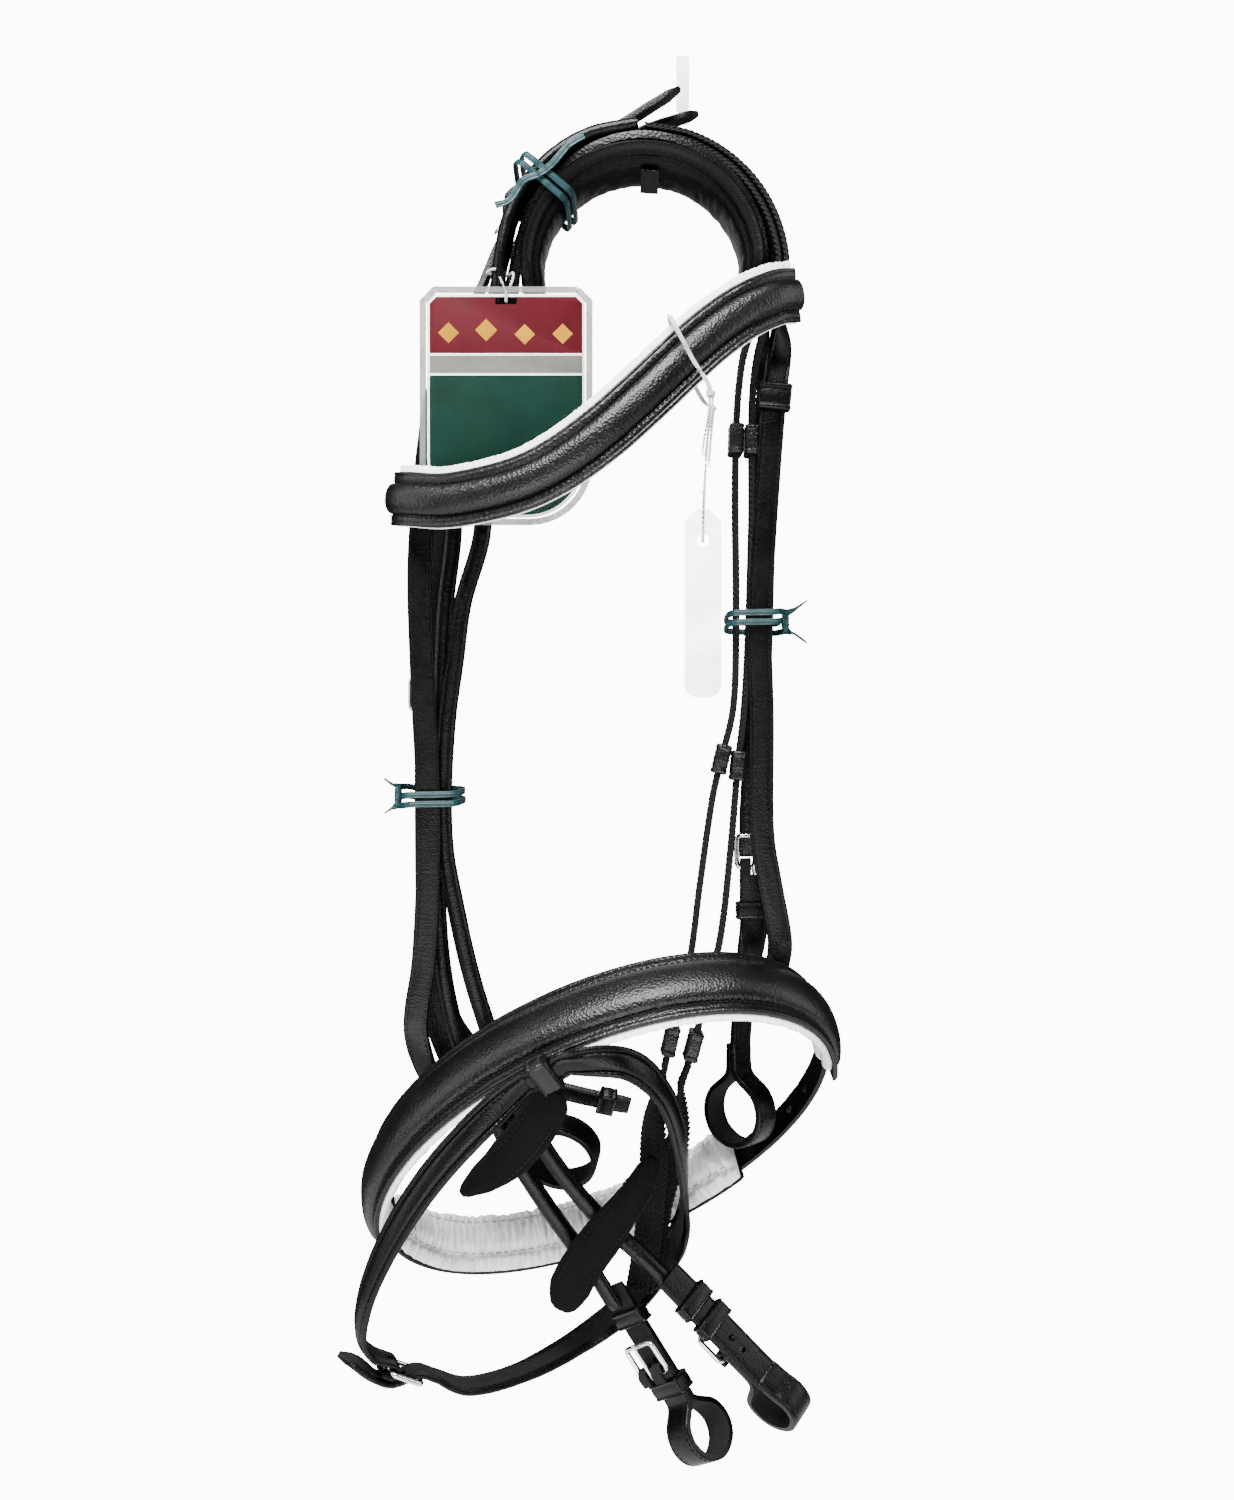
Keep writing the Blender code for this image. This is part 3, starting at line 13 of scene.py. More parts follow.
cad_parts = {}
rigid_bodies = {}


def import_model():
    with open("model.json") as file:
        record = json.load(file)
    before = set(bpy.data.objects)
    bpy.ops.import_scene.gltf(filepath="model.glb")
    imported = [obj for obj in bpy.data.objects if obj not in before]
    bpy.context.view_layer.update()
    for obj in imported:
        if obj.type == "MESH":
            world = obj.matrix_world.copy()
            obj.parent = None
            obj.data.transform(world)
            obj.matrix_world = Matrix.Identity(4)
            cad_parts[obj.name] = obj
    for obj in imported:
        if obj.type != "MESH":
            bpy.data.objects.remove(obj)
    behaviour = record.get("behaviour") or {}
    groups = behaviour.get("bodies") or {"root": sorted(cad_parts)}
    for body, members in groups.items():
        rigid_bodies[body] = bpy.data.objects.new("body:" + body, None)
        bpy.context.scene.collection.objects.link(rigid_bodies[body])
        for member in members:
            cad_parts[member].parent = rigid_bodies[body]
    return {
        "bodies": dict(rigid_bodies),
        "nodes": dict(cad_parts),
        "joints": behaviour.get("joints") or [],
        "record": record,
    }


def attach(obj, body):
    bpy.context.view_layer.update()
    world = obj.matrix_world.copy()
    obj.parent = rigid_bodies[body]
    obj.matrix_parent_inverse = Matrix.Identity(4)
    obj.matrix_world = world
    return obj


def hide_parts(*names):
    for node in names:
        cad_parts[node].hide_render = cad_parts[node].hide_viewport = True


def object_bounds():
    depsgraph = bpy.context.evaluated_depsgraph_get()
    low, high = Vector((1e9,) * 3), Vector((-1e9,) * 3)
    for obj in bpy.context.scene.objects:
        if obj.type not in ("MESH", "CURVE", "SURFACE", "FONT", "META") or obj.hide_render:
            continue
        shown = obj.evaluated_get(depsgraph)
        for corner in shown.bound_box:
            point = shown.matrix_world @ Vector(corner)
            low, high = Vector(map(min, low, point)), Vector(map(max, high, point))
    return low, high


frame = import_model()
CAD_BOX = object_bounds()

# Overall lay of the hanging bridle
DROP = 0.5            # crown down to the middle of the noseband
SPREAD = 0.1          # middle of the crown out to the hanging straps
DEPTH = 0.1           # how far the noseband reaches out in front
GAP = 0.0004            # clearance between pieces that touch
LOOSE = 0.001          # clearance between straps that hang beside each other
BEND_REACH = 0.1       # length that a bend of one radian counts as when a strap is divided
OVERRUN = 0.004         # how far every cutter passes the face it cuts

# Straps: width and thickness
PAD_WIDTH = 0.058
PAD_THICK = 0.011
HEADPIECE_WIDTH = 0.05
HEADPIECE_LEG_WIDTH = 0.014
HEADPIECE_THICK = 0.004
HEADSTRAP_WIDTH = 0.012
HEADSTRAP_THICK = 0.0032
THROATLASH_WIDTH = 0.012
THROATLASH_THICK = 0.003
CHEEK_WIDTH = 0.014
CHEEK_THICK = 0.003
ROLLED_WIDTH = 0.009
ROLLED_THICK = 0.007
WEB_WIDTH = 0.014
WEB_THICK = 0.003
BILLET_WIDTH = 0.016
BILLET_THICK = 0.003
FLASH_WIDTH = 0.015
FLASH_THICK = 0.003

# Browband and noseband
BROWBAND_WIDTH = 0.026
BROWBAND_EDGE = 0.0022
BROWBAND_CROWN = 0.0065
BROWBAND_LINING_LIP = 0.004
BROWBAND_LINING_THICK = 0.004
NOSEBAND_WIDTH = 0.041
NOSEBAND_EDGE = 0.0024
NOSEBAND_CROWN = 0.008
NOSEBAND_LINING_LIP = 0.003
NOSEBAND_LINING_THICK = 0.006
NOSE_STRAP_WIDTH = 0.015
NOSE_STRAP_THICK = 0.003
CHIN_PAD_WIDTH = 0.034
CHIN_PAD_THICK = 0.011
CHIN_COVER_THICK = 0.003
STRAP_HOLE = 0.0042

# Buckles and keepers
BAR_RADIUS = 0.0013
TONGUE_RADIUS = 0.001
BUCKLE_LENGTH = 0.016
SLOT_WIDTH = 0.0034
CHAPE_LENGTH = 0.004
KEEPER_LENGTH = 0.009
KEEPER_WALL = 0.0018
STOP_LENGTH = 0.015
STOP_WALL = 0.0016

# Ties, tags and strings
TIE_WIDTH = 0.0042
TIE_THICK = 0.0012
SQUARENESS_SHARE = 0.33  # from 1, a tie as round as an ellipse, to 0, a square one
CARD_WIDTH = 0.084
CARD_HEIGHT = 0.116
CARD_THICK = 0.0012
CARD_CORNER = 0.03
PRICE_WIDTH = 0.017
PRICE_HEIGHT = 0.088
PRICE_THICK = 0.0008
STRING_RADIUS = 0.0006
LABEL_WIDTH = 0.0065
LABEL_HEIGHT = 0.029
LABEL_THICK = 0.0008
CARD_EYE = 0.006
CARD_EYE_DOWN = 0.007
PRICE_EYE_DOWN = 0.015
PRICE_CORNER = 0.006
SOFT_PAD_WIDTH = 0.021
SOFT_PAD_THICK = 0.005
TOP_TIE_HALF = 0.0161
TOP_TIE_TAIL = 0.022
LEFT_TIE_SIZES = (0.0146, 0.0192, 0.008)    # half across, half out and tail
RIGHT_TIE_SIZES = (0.0133, 0.0206, 0.012)
STRING_WRAP = 0.006    # how far a string passes from the middle of what it goes round

# Ends that loop round the bit: outer run, radius of the loop and run back
CHEEK_RUN = 0.012
CHEEK_BACK = 0.01
RIGHT_BIT_RADIUS = 0.0165
LEFT_BIT_RADIUS = 0.0185
FIRST_REIN_RUN = 0.064
FIRST_REIN_RADIUS = 0.013
SECOND_REIN_RUN = 0.062
SECOND_REIN_RADIUS = 0.014
REIN_BACK = 0.015
SEAT_BEFORE = 0.012     # rolled leather beside its billet, before and after the billet's start
SEAT_AFTER = 0.01

# Keepers: how far along their strap they sit
CHEEK_KEEPER_IN = 0.022
THROATLASH_KEEPER_IN = 0.012
REIN_KEEPER_DOWN = 0.018
SECOND_KEEPER_DOWN = 0.031
DOUBLE_KEEPER_DOWN = 0.0565

# Directions that a strap's face can look
FRONT = Vector((0, -1, 0))
BACK = Vector((0, 1, 0))
LEFT = Vector((-1, 0, 0))
RIGHT = Vector((1, 0, 0))
UP = Vector((0, 0, 1))
DOWN = Vector((0, 0, -1))


def spot(across_share, depth_share, drop_share):
    """A place given as shares of the spread, the depth and the drop."""
    return Vector((SPREAD * across_share, DEPTH * depth_share, -DROP * drop_share))


def catmull(before, start, end, after, share):
    """A point of the smooth curve between start and end."""
    square = share * share
    cube = square * share
    return 0.5 * ((2 * start) + (end - before) * share
                  + (2 * before - 5 * start + 4 * end - after) * square
                  + (3 * start - before - 3 * end + after) * cube)


class Line:
    """A smooth centre line with the direction in which its strap's face looks."""

    def __init__(self, places, facings, steps):
        points, looks = self.thicken(places, facings)
        self.lengths = [0.0]
        for one, two in zip(points, points[1:]):
            self.lengths.append(self.lengths[-1] + (two - one).length)
        self.points = points
        self.looks = looks
        self.length = self.lengths[-1]
        self.steps = steps
        self.efforts = self.weigh()

    def weigh(self):
        """Length so far at each point, with bends and twists counted as extra length."""
        efforts = [0.0]
        for index in range(1, len(self.points)):
            step = self.points[index] - self.points[index - 1]
            after = self.points[min(index + 1, len(self.points) - 1)] - self.points[index]
            bend = step.angle(after, 0.0) + self.looks[index].angle(self.looks[index - 1], 0.0)
            efforts.append(efforts[-1] + step.length + bend * BEND_REACH)
        return efforts

    def search(self, goal, known):
        """The last place in a rising list before a goal, and how far on to the next the goal lies."""
        index = 0
        while index < len(known) - 2 and known[index + 1] < goal:
            index += 1
        span = known[index + 1] - known[index]
        return index, (goal - known[index]) / span if span else 0.0

    def thicken(self, places, facings, fine=12):
        """Many points along the curve through the given places."""
        padded = [2 * places[0] - places[1]] + list(places) + [2 * places[-1] - places[-2]]
        points = []
        looks = []
        for index in range(len(places) - 1):
            for part in range(fine):
                share = part / fine
                points.append(catmull(*padded[index:index + 4], share))
                looks.append(facings[index].lerp(facings[index + 1], share))
        points.append(places[-1].copy())
        looks.append(facings[-1].copy())
        return points, looks

    def place(self, share):
        """Point and raw facing at a share of the length."""
        index, part = self.search(min(max(share, 0.0), 1.0) * self.length, self.lengths)
        return (self.points[index].lerp(self.points[index + 1], part),
                self.looks[index].lerp(self.looks[index + 1], part))

    def frame(self, share):
        """Point, direction, facing and width direction at a share of the length."""
        reach = 1 / (4 * self.steps)
        ahead = self.place(min(share + reach, 1.0))[0]
        behind = self.place(max(share - reach, 0.0))[0]
        point, look = self.place(share)
        along = (ahead - behind).normalized()
        facing = (look - along * look.dot(along)).normalized()
        return point, along, facing, along.cross(facing)

    def frames(self):
        """Frames along the whole length, closer together where the line bends."""
        shares = []
        for step in range(self.steps + 1):
            index, part = self.search(self.efforts[-1] * step / self.steps, self.efforts)
            length = self.lengths[index] + (self.lengths[index + 1] - self.lengths[index]) * part
            shares.append(length / self.length)
        return [self.frame(share) for share in shares]


def stretch(rows):
    """Places and facings of rows of across, depth and drop shares. A row without a facing looks to the front."""
    return [spot(*row[:3]) for row in rows], [row[3] if len(row) > 3 else FRONT for row in rows]


def bar_centre(frame, thick):
    """Where a buckle's bar lies on the face at a strap's end."""
    point, _, facing, _ = frame
    return point + facing * (thick / 2 + GAP + BAR_RADIUS)


def curl_frames(frame, thick, steps):
    """Frames that turn a strap's end round its buckle's bar and back."""
    _, along, facing, width = frame
    bar = bar_centre(frame, thick)
    radius = thick / 2 + GAP + BAR_RADIUS
    frames = []
    for step in range(1, steps + 1):
        angle = math.pi * (step / steps - 0.5)
        out = along * math.cos(angle) + facing * math.sin(angle)
        frames.append((bar + out * radius, along, -out, width))
    end = frames[-1]
    frames.append((end[0] - along * CHAPE_LENGTH, along, end[2], width))
    return frames


# Layers over the crown, from the padded underside outwards
ARCH_RADIUS = 0.049
ARCH_CENTRE = Vector((-0.04 * SPREAD, 0, -ARCH_RADIUS))
HEADPIECE_LEVEL = PAD_THICK + GAP * 3 + HEADPIECE_THICK / 2
ON_HEADPIECE = HEADPIECE_LEVEL + HEADPIECE_THICK / 2 + GAP
HEADSTRAP_LEVEL = ON_HEADPIECE + HEADSTRAP_THICK / 2
THROATLASH_LEVEL = ON_HEADPIECE + THROATLASH_THICK / 2
ROLLED_LEVEL = ON_HEADPIECE + GAP + ROLLED_THICK / 2
WEB_LEVEL = ON_HEADPIECE + WEB_THICK / 2
OUTER_WEB_LEVEL = WEB_LEVEL + WEB_THICK + LOOSE

# Places across the crown, front (negative) to back
HEADSTRAP_ASIDE = 0.005
STRING_ROOM = STRING_RADIUS * 2 + GAP * 2
BACK_ROLLED_ASIDE = HEADSTRAP_ASIDE - HEADSTRAP_WIDTH / 2 - GAP * 3 - BAR_RADIUS * 2 - ROLLED_WIDTH / 2
FRONT_ROLLED_ASIDE = BACK_ROLLED_ASIDE - ROLLED_WIDTH - STRING_ROOM
WEB_ASIDE = HEADSTRAP_ASIDE - HEADSTRAP_WIDTH / 2 - WEB_WIDTH / 2 - GAP
THROATLASH_ASIDE = HEADSTRAP_ASIDE + HEADSTRAP_WIDTH / 2 + THROATLASH_WIDTH / 2 + GAP * 3 + BAR_RADIUS * 2

# Lanes of the straps that hang on the left, front to back, as shares of the depth
FRONT_ROLLED_LANE = -(LOOSE + ROLLED_THICK) / 2 / DEPTH
BACK_ROLLED_LANE = -FRONT_ROLLED_LANE
LEFT_STRAP_LANE = FRONT_ROLLED_LANE - (ROLLED_THICK / 2 + LOOSE + HEADSTRAP_THICK / 2) / DEPTH
BUCKLE_RISE = CHEEK_THICK * 1.5 + GAP * 2 + BAR_RADIUS * 2
LEFT_CHEEK_LANE = BACK_ROLLED_LANE + (ROLLED_THICK / 2 + LOOSE + BUCKLE_RISE) / DEPTH
THROATLASH_LANE = LEFT_CHEEK_LANE + (HEADPIECE_THICK / 2 + LOOSE + THROATLASH_THICK / 2) / DEPTH

# Lanes of the straps that hang on the right
STOP_HALF = WEB_WIDTH / 2 + GAP + STOP_WALL
RIGHT_STRAP_LANE = -(STOP_HALF + GAP + HEADSTRAP_THICK / 2) / DEPTH
RIGHT_CHEEK_LANE = (STOP_HALF + GAP + BUCKLE_RISE) / DEPTH


def over_crown(level, aside, first, last, count):
    """Places and facings over the crown, between two angles from the right."""
    places = []
    facings = []
    for index in range(count):
        angle = math.radians(first + (last - first) * index / (count - 1))
        out = Vector((math.cos(angle), 0, math.sin(angle)))
        places.append(ARCH_CENTRE + out * (ARCH_RADIUS + level) + Vector((0, aside, 0)))
        facings.append(out)
    return places, facings


def joined(steps, *stretches):
    """One line through several stretches, given as places and facings or as rows of shares."""
    places = []
    facings = []
    for part in stretches:
        more = part if isinstance(part, tuple) else stretch(part)
        places += more[0]
        facings += more[1]
    return Line(places, facings, steps)


class NoseLoop:
    """The slanting loop that the noseband and its chin strap follow."""

    centre = spot(-0.26, -0.02, 0.945)
    sideways = spot(1.095, 0.0, -0.055)
    forward = spot(0.2, -0.48, -0.142)
    upward = forward.cross(sideways).normalized()

    def frame(self, angle, level=0.0, lift=0.0):
        """Frame at an angle from the right end, a level outside and a lift up the loop."""
        turn = math.radians(angle)
        point = self.centre + self.sideways * math.cos(turn) + self.forward * math.sin(turn)
        along = (self.forward * math.cos(turn) - self.sideways * math.sin(turn)).normalized()
        out = self.upward.cross(along).normalized()
        return point + out * level + self.upward * lift, along, out, self.upward

    def frames(self, first, last, steps, level=0.0, lift=0.0):
        """Frames between two angles."""
        return [self.frame(first + (last - first) * step / steps, level, lift) for step in range(steps + 1)]


NOSE = NoseLoop()


def crown_share(route):
    """The share of a route at which it is highest."""
    shares = [step / 200 for step in range(201)]
    return max(shares, key=lambda share: route.place(share)[0].z)


def on_noseband(angle, level, *lift_shares):
    """Places and facings on the noseband at an angle, at shares of its width above its middle."""
    frames = [NOSE.frame(angle, level, NOSEBAND_WIDTH * share) for share in lift_shares]
    return [frame[0] for frame in frames], [frame[2] for frame in frames]


def past_buckle(frame, thick, tip_thick):
    """Places and facings of a tip that lies under a buckle's frame, from the bar outwards."""
    point, along, facing, _ = frame
    under = facing * (thick / 2 - tip_thick / 2 - GAP)
    near = point + along * (thick + BAR_RADIUS + GAP * 2) + under
    return [near, near + along * BUCKLE_LENGTH * 1.3], [facing, facing]


def end_frame(places, facings):
    """The frame at the last of several places."""
    along = (places[-1] - places[-2]).normalized()
    facing = (facings[-1] - along * facings[-1].dot(along)).normalized()
    return places[-1], along, facing, along.cross(facing)


def threaded(end, thick):
    """Places and facings of a strap that comes under a frame's far bar and over its near bar."""
    _, along, facing, _ = end
    bar = bar_centre(end, thick)
    below = -(BAR_RADIUS + GAP + thick / 2)
    above = BAR_RADIUS + GAP * 2 + thick * 1.5
    shares = ((1.5, below), (1.05, below), (0.75, below * 0.4), (0.42, above * 0.6), (0.1, above),
              (-0.4, above))
    places = [bar + along * (BUCKLE_LENGTH * share) + facing * out for share, out in shares]
    return places, [facing] * len(places)


class BitEnd:
    """The doubled end of a strap: an outer run, a round loop for the bit and a run back."""

    def __init__(self, start, down, face, thick, run, radius, back, lean_share=0.0):
        self.start = start
        self.lean_share = lean_share
        self.down = down.normalized()
        self.face = (face - self.down * face.dot(self.down)).normalized()
        self.run = run
        self.radius = radius
        self.back = back
        self.apart = thick + GAP

    def at(self, along, out=0.0):
        """A place along the outer run and out from it."""
        return self.start + self.down * along + self.face * out

    def course(self):
        """Places and facings down the outer run, round the loop and back up."""
        throat = self.run + self.radius * 0.4
        spread = self.radius * 0.1
        places = [self.at(0), self.at(self.run * 0.5), self.at(self.run), self.at(throat, spread)]
        facings = [self.face] * 4
        centre = self.at(self.run + self.radius * 1.5, -self.apart / 2 - self.radius * self.lean_share)
        for angle in (125, 85, 45, 0, -45, -85, -125):
            turn = math.radians(angle)
            facings.append(self.down * math.cos(turn) + self.face * math.sin(turn))
            places.append(centre + facings[-1] * self.radius)
        places.append(self.at(throat, -self.apart - spread - self.radius * self.lean_share * 0.3))
        facings.append(-self.face)
        for share in (0, 0.5, 1):
            places.append(self.at(self.run - self.back * share, -self.apart))
            facings.append(-self.face)
        return places, facings

    def frame(self, along, out=0.0):
        """A frame beside the outer run, for keepers."""
        return self.at(along, out), self.down, self.face, self.down.cross(self.face)


def reverse(ends):
    """The same places and facings from their other end."""
    return ends[0][::-1], ends[1][::-1]


RIGHT_BIT = BitEnd(spot(0.46, 0.08, 0.862), Vector((0.02, 0, -1)), RIGHT * 0.75 + FRONT * 0.65,
                   CHEEK_THICK, CHEEK_RUN, RIGHT_BIT_RADIUS, CHEEK_BACK)
LEFT_BIT = BitEnd(spot(-0.76, 0.17, 0.935), Vector((0.75, 0.15, -0.55)), Vector((0.5, -0.5, 0.7)),
                  CHEEK_THICK, CHEEK_RUN, LEFT_BIT_RADIUS, CHEEK_BACK)
FIRST_REIN = BitEnd(spot(0.09, -0.12, 1.089), Vector((0.7, 0, -0.72)), Vector((0.372, -0.78, 0.496)),
                    BILLET_THICK, FIRST_REIN_RUN, FIRST_REIN_RADIUS, REIN_BACK, 0.5)
SECOND_REIN = BitEnd(spot(-0.19, -0.02, 1.105), Vector((0.536, -0.06, -0.84)), Vector((0.55, 0.75, 0.35)),
                     BILLET_THICK, SECOND_REIN_RUN, SECOND_REIN_RADIUS, REIN_BACK)


def share_at_height(route, drop_share):
    """The share of a route at which it is a share of the drop below the hanging point."""
    shares = [step / 400 for step in range(401)]
    return min(shares, key=lambda share: abs(route.place(share)[0].z + DROP * drop_share))


# Finer sizes that only the looks need
RING_STEP = 0.0022      # length of strap from one ring of points to the next
CREASE_IN = 0.0014      # how far the pressed edge line lies inside a strap's edge
CREASE_DEEP = 0.00016
CHANNEL_WIDTH = 0.0022  # how far a sewn channel draws in the padding beside it
ROUNDED_END = 0.0009    # length over which the ends of a piece get thinner
SEAM_IN = 0.0022        # how far a row of stitches lies inside a strap's edge
FINE_SEAM_IN = 0.0019   # the same on a narrow strap
FLASH_SEAM_IN = 0.0026
HEADSTRAP_HOLE = 0.0026
PLAIT_LEAN = 0.62       # how far the strands of the webs slant, in radians
STITCH_PITCH = 0.0029
STITCH_LONG = 0.0021
THREAD = 0.00042
STRING_LAY = 0.0042     # length of string in which its strands turn once
SHARP_ANGLE = math.radians(50)
MERGED = 0.00005        # points closer than this count as one
SWING_EYE = (-0.705, -0.24, 0.134)  # the swing tag's slot, as shares
LINING_SEAMS = (0.2, 0.8)           # the two sewn channels of a lining, as shares of its width
NOSEBAND_RIDGE = 0.64               # how much of a band's half width its ridge takes
BROWBAND_RIDGE = 0.58
FLOOR_BELOW = 0.45                  # how far the studio's floor lies under the bridle
FLOOR_HALF = 1.7                    # half the width of that floor

SEAMS = {}


def ripple(along, around, fine, long_fine, seed):
    """Smooth even noise of a place on a strap, the same on every run."""
    return noise.noise(Vector((along * long_fine, around * fine, seed)))


def arc(centre, radius, first, last, steps):
    """Points of an arc in a strap's section."""
    points = []
    for step in range(steps + 1):
        turn = math.radians(first + (last - first) * step / steps)
        points.append((centre[0] + radius * math.cos(turn), centre[1] + radius * math.sin(turn)))
    return points


def strap_section(width, thick, dome=0.12, crease=CREASE_DEEP):
    """A strap's section: rounded edges, a pressed line inside each edge and a slightly full face."""
    half = width / 2
    rise = thick / 2
    edge = min(rise, 0.0009)
    right = arc((half - edge, edge - rise), edge, -90, 0, 3) + arc((half - edge, rise - edge), edge, 0, 90, 3)
    face = []
    inner = half - CREASE_IN
    for share, deep in ((1.12, 0.2), (1.0, 1.0), (0.88, 0.1)):
        face.append((inner * share if share < 1.1 else (inner + half - edge) / 2, rise - crease * deep))
    for share in (0.6, 0.3, 0.0):
        face.append((inner * share, rise + thick * dome * (1 - share * share) * 0.4))
    front = right[4:] + face
    whole = front + [(-across, out) for across, out in reversed(front[:-1])]
    back = [(across, -out) for across, out in reversed(whole)]
    low = [(across, min(out, -rise + crease * 0.2)) for across, out in back]
    return whole + low


def ridged_strap(width, thick):
    """A strap's section with a raised middle between two pressed grooves."""
    half = width / 2
    rise = thick / 2
    front = [(half - 0.0005, -rise + 0.0003), (half, -0.0004), (half, rise - 0.001),
             (half - 0.0008, rise - 0.0003)]
    front += [(half * share, rise + lift) for share, lift in
              ((0.76, 0.0), (0.66, -0.0002), (0.6, -0.0009), (0.54, -0.0002), (0.44, 0.0004), (0.28, 0.0007),
               (0, 0.0008))]
    whole = front + [(-across, out) for across, out in reversed(front[:-1])]
    return whole + [(-half * 0.5, -rise), (0, -rise), (half * 0.5, -rise)]


def rolled_section(width, thick, sides=20):
    """A rolled strap's round section with its sewn seam as a shallow groove behind."""
    points = []
    for side in range(sides):
        turn = math.tau * side / sides
        deep = 0.93 if side == sides * 3 // 4 else 1.0
        points.append((width / 2 * math.cos(turn) * deep, thick / 2 * math.sin(turn) * deep))
    return points


def padded_section(width, edge, crown, ridge_share, fullness=2.4):
    """A padded band's face: flat borders, a sewn groove and a full round ridge, on a flat back."""
    half = width / 2
    ridge = half * ridge_share
    border = half - ridge
    front = [(half - 0.0002, 0), (half, 0.0003), (half, edge - 0.0004), (half - 0.0004, edge)]
    front += [(half - border * share, edge - deep) for share, deep in
              ((0.22, -0.0001), (0.32, 0.0002), (0.42, -0.0001), (0.7, 0.0), (0.88, 0.0003), (1.0, 0.0005))]
    for share in (0.96, 0.9, 0.8, 0.66, 0.5, 0.34, 0.17, 0.0):
        lift = (1 - share ** fullness) ** 0.6
        front.append((ridge * share, edge + (crown - edge) * lift))
    return front + [(-across, out) for across, out in reversed(front[:-1])]


def puffed_section(low, high, thick, seams, points, sink=0.34):
    """A lining's section: flat against its band, with a full roll between the rows of stitches."""
    span = high - low
    back = []
    for step in range(points + 1):
        along = 0.5 - 0.5 * math.cos(math.pi * step / points)
        deep = min(1.0, (4 * along * (1 - along)) ** 0.36)
        for seam in seams:
            near = abs(along - seam) * span / CHANNEL_WIDTH
            deep *= 1 - sink * math.exp(-near * near)
        back.append((low + span * along, -thick * deep))
    return [(high - thick * 0.3, 0), (low + thick * 0.3, 0)] + back[1:-1]


def tip_taper(start_length=0.0, end_length=0.0):
    """Narrows a strap towards a rounded or pointed tip, over a length at its start or end."""
    def width_share(near, far):
        for length, reach in ((far, end_length), (near, start_length)):
            if reach and length < reach:
                return 0.35 + 0.65 * math.sqrt(max(length, 0.0) / reach)
        return 1.0
    return width_share


def outward_mesh(name, data):
    """The mesh of a bmesh with its faces turned outwards."""
    data.normal_update()
    bmesh.ops.recalc_face_normals(data, faces=data.faces)
    mesh = bpy.data.meshes.new(name)
    data.to_mesh(mesh)
    data.free()
    return mesh


def keep(name, data, finish, node=None, body="bridle"):
    """Turns a bmesh into a finished piece that rides on a body and may stand for a solid."""
    mesh = outward_mesh(name, data)
    mesh.shade_smooth()
    mesh.set_sharp_from_angle(angle=SHARP_ANGLE)
    mesh.materials.append(finish)
    if any(face.material_index for face in mesh.polygons):
        mesh.materials.append(FLESH_SIDE)
    return settle(put_in(name, mesh), body, node)


def settle(made, body="bridle", node=None):
    """Gives a piece its body, and hides the solid that it stands for."""
    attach(made, body)
    if node:
        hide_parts(node)
    return made


def capped(data, rings):
    """Closes both ends of a row of rings."""
    data.faces.new(rings[0])
    data.faces.new(list(reversed(rings[-1])))
    return data


def skin(frames, section, taper=None, closed=False, shape=None, flesh_below=-1.0):
    """Carries a section along frames as one skin whose UVs are metres along and metres around."""
    data = bmesh.new()
    weave = data.loops.layers.uv.new("weave")
    lengths = [0.0]
    for one, two in zip(frames, frames[1:]):
        lengths.append(lengths[-1] + (two[0] - one[0]).length)
    total = lengths[-1]
    around = [0.0]
    for one, two in zip(section, section[1:] + section[:1]):
        around.append(around[-1] + math.dist(one, two))
    rows = []
    for (point, _, facing, width), length in zip(frames, lengths):
        wide = taper(length, total - length) if taper else 1.0
        thin = 1.0
        if not closed:
            near = min(length, total - length) / ROUNDED_END
            thin = 0.62 + 0.38 * math.sqrt(min(near, 1.0))
        row = []
        for (across, out), run in zip(section, around):
            if shape:
                across, out = shape(length, total, across, out, run)
            row.append(data.verts.new(point + width * (across * wide) + facing * (out * thin)))
        rows.append(row)
    pairs = [(index, index + 1) for index in range(len(rows) - 1)]
    if closed:
        pairs.append((len(rows) - 1, 0))
    for one, two in pairs:
        far = lengths[two] if two else total + (frames[0][0] - frames[-1][0]).length
        for index in range(len(section)):
            after = (index + 1) % len(section)
            face = data.faces.new((rows[one][index], rows[one][after], rows[two][after], rows[two][index]))
            if section[index][1] < flesh_below and section[after][1] < flesh_below:
                face.material_index = 1
            marks = ((lengths[one], around[index]), (lengths[one], around[index + 1]),
                     (far, around[index + 1]), (far, around[index]))
            for loop, mark in zip(face.loops, marks):
                loop[weave].uv = mark
    return data if closed else capped(data, rows)


def fine_frames(route, step=RING_STEP):
    """Closely spaced frames along a route."""
    route.steps = max(24, int(route.length / step))
    return route.frames()


def crumple(amount, long_fine, fine, seed):
    """A shape that gives a section small lasting creases and waves."""
    def shape(length, total, across, out, run):
        wave = ripple(length, run, fine, long_fine, seed) * amount
        side = 1 if out > 0 else -1
        return across, out + wave * side
    return shape


# Node trees
def fed(tree, made, inputs):
    """Gives a node its inputs, each a plain value or what another node puts out."""
    for name, value in inputs.items():
        if isinstance(value, bpy.types.NodeSocket):
            tree.links.new(value, made.inputs[name])
        else:
            made.inputs[name].default_value = value


def added(tree, kind, inputs, out=0, **settings):
    """Adds a node with its settings and inputs to a tree, and returns one of its outputs."""
    made = tree.nodes.new(kind)
    for name, value in settings.items():
        setattr(made, name, value)
    fed(tree, made, inputs)
    return made.outputs[out]


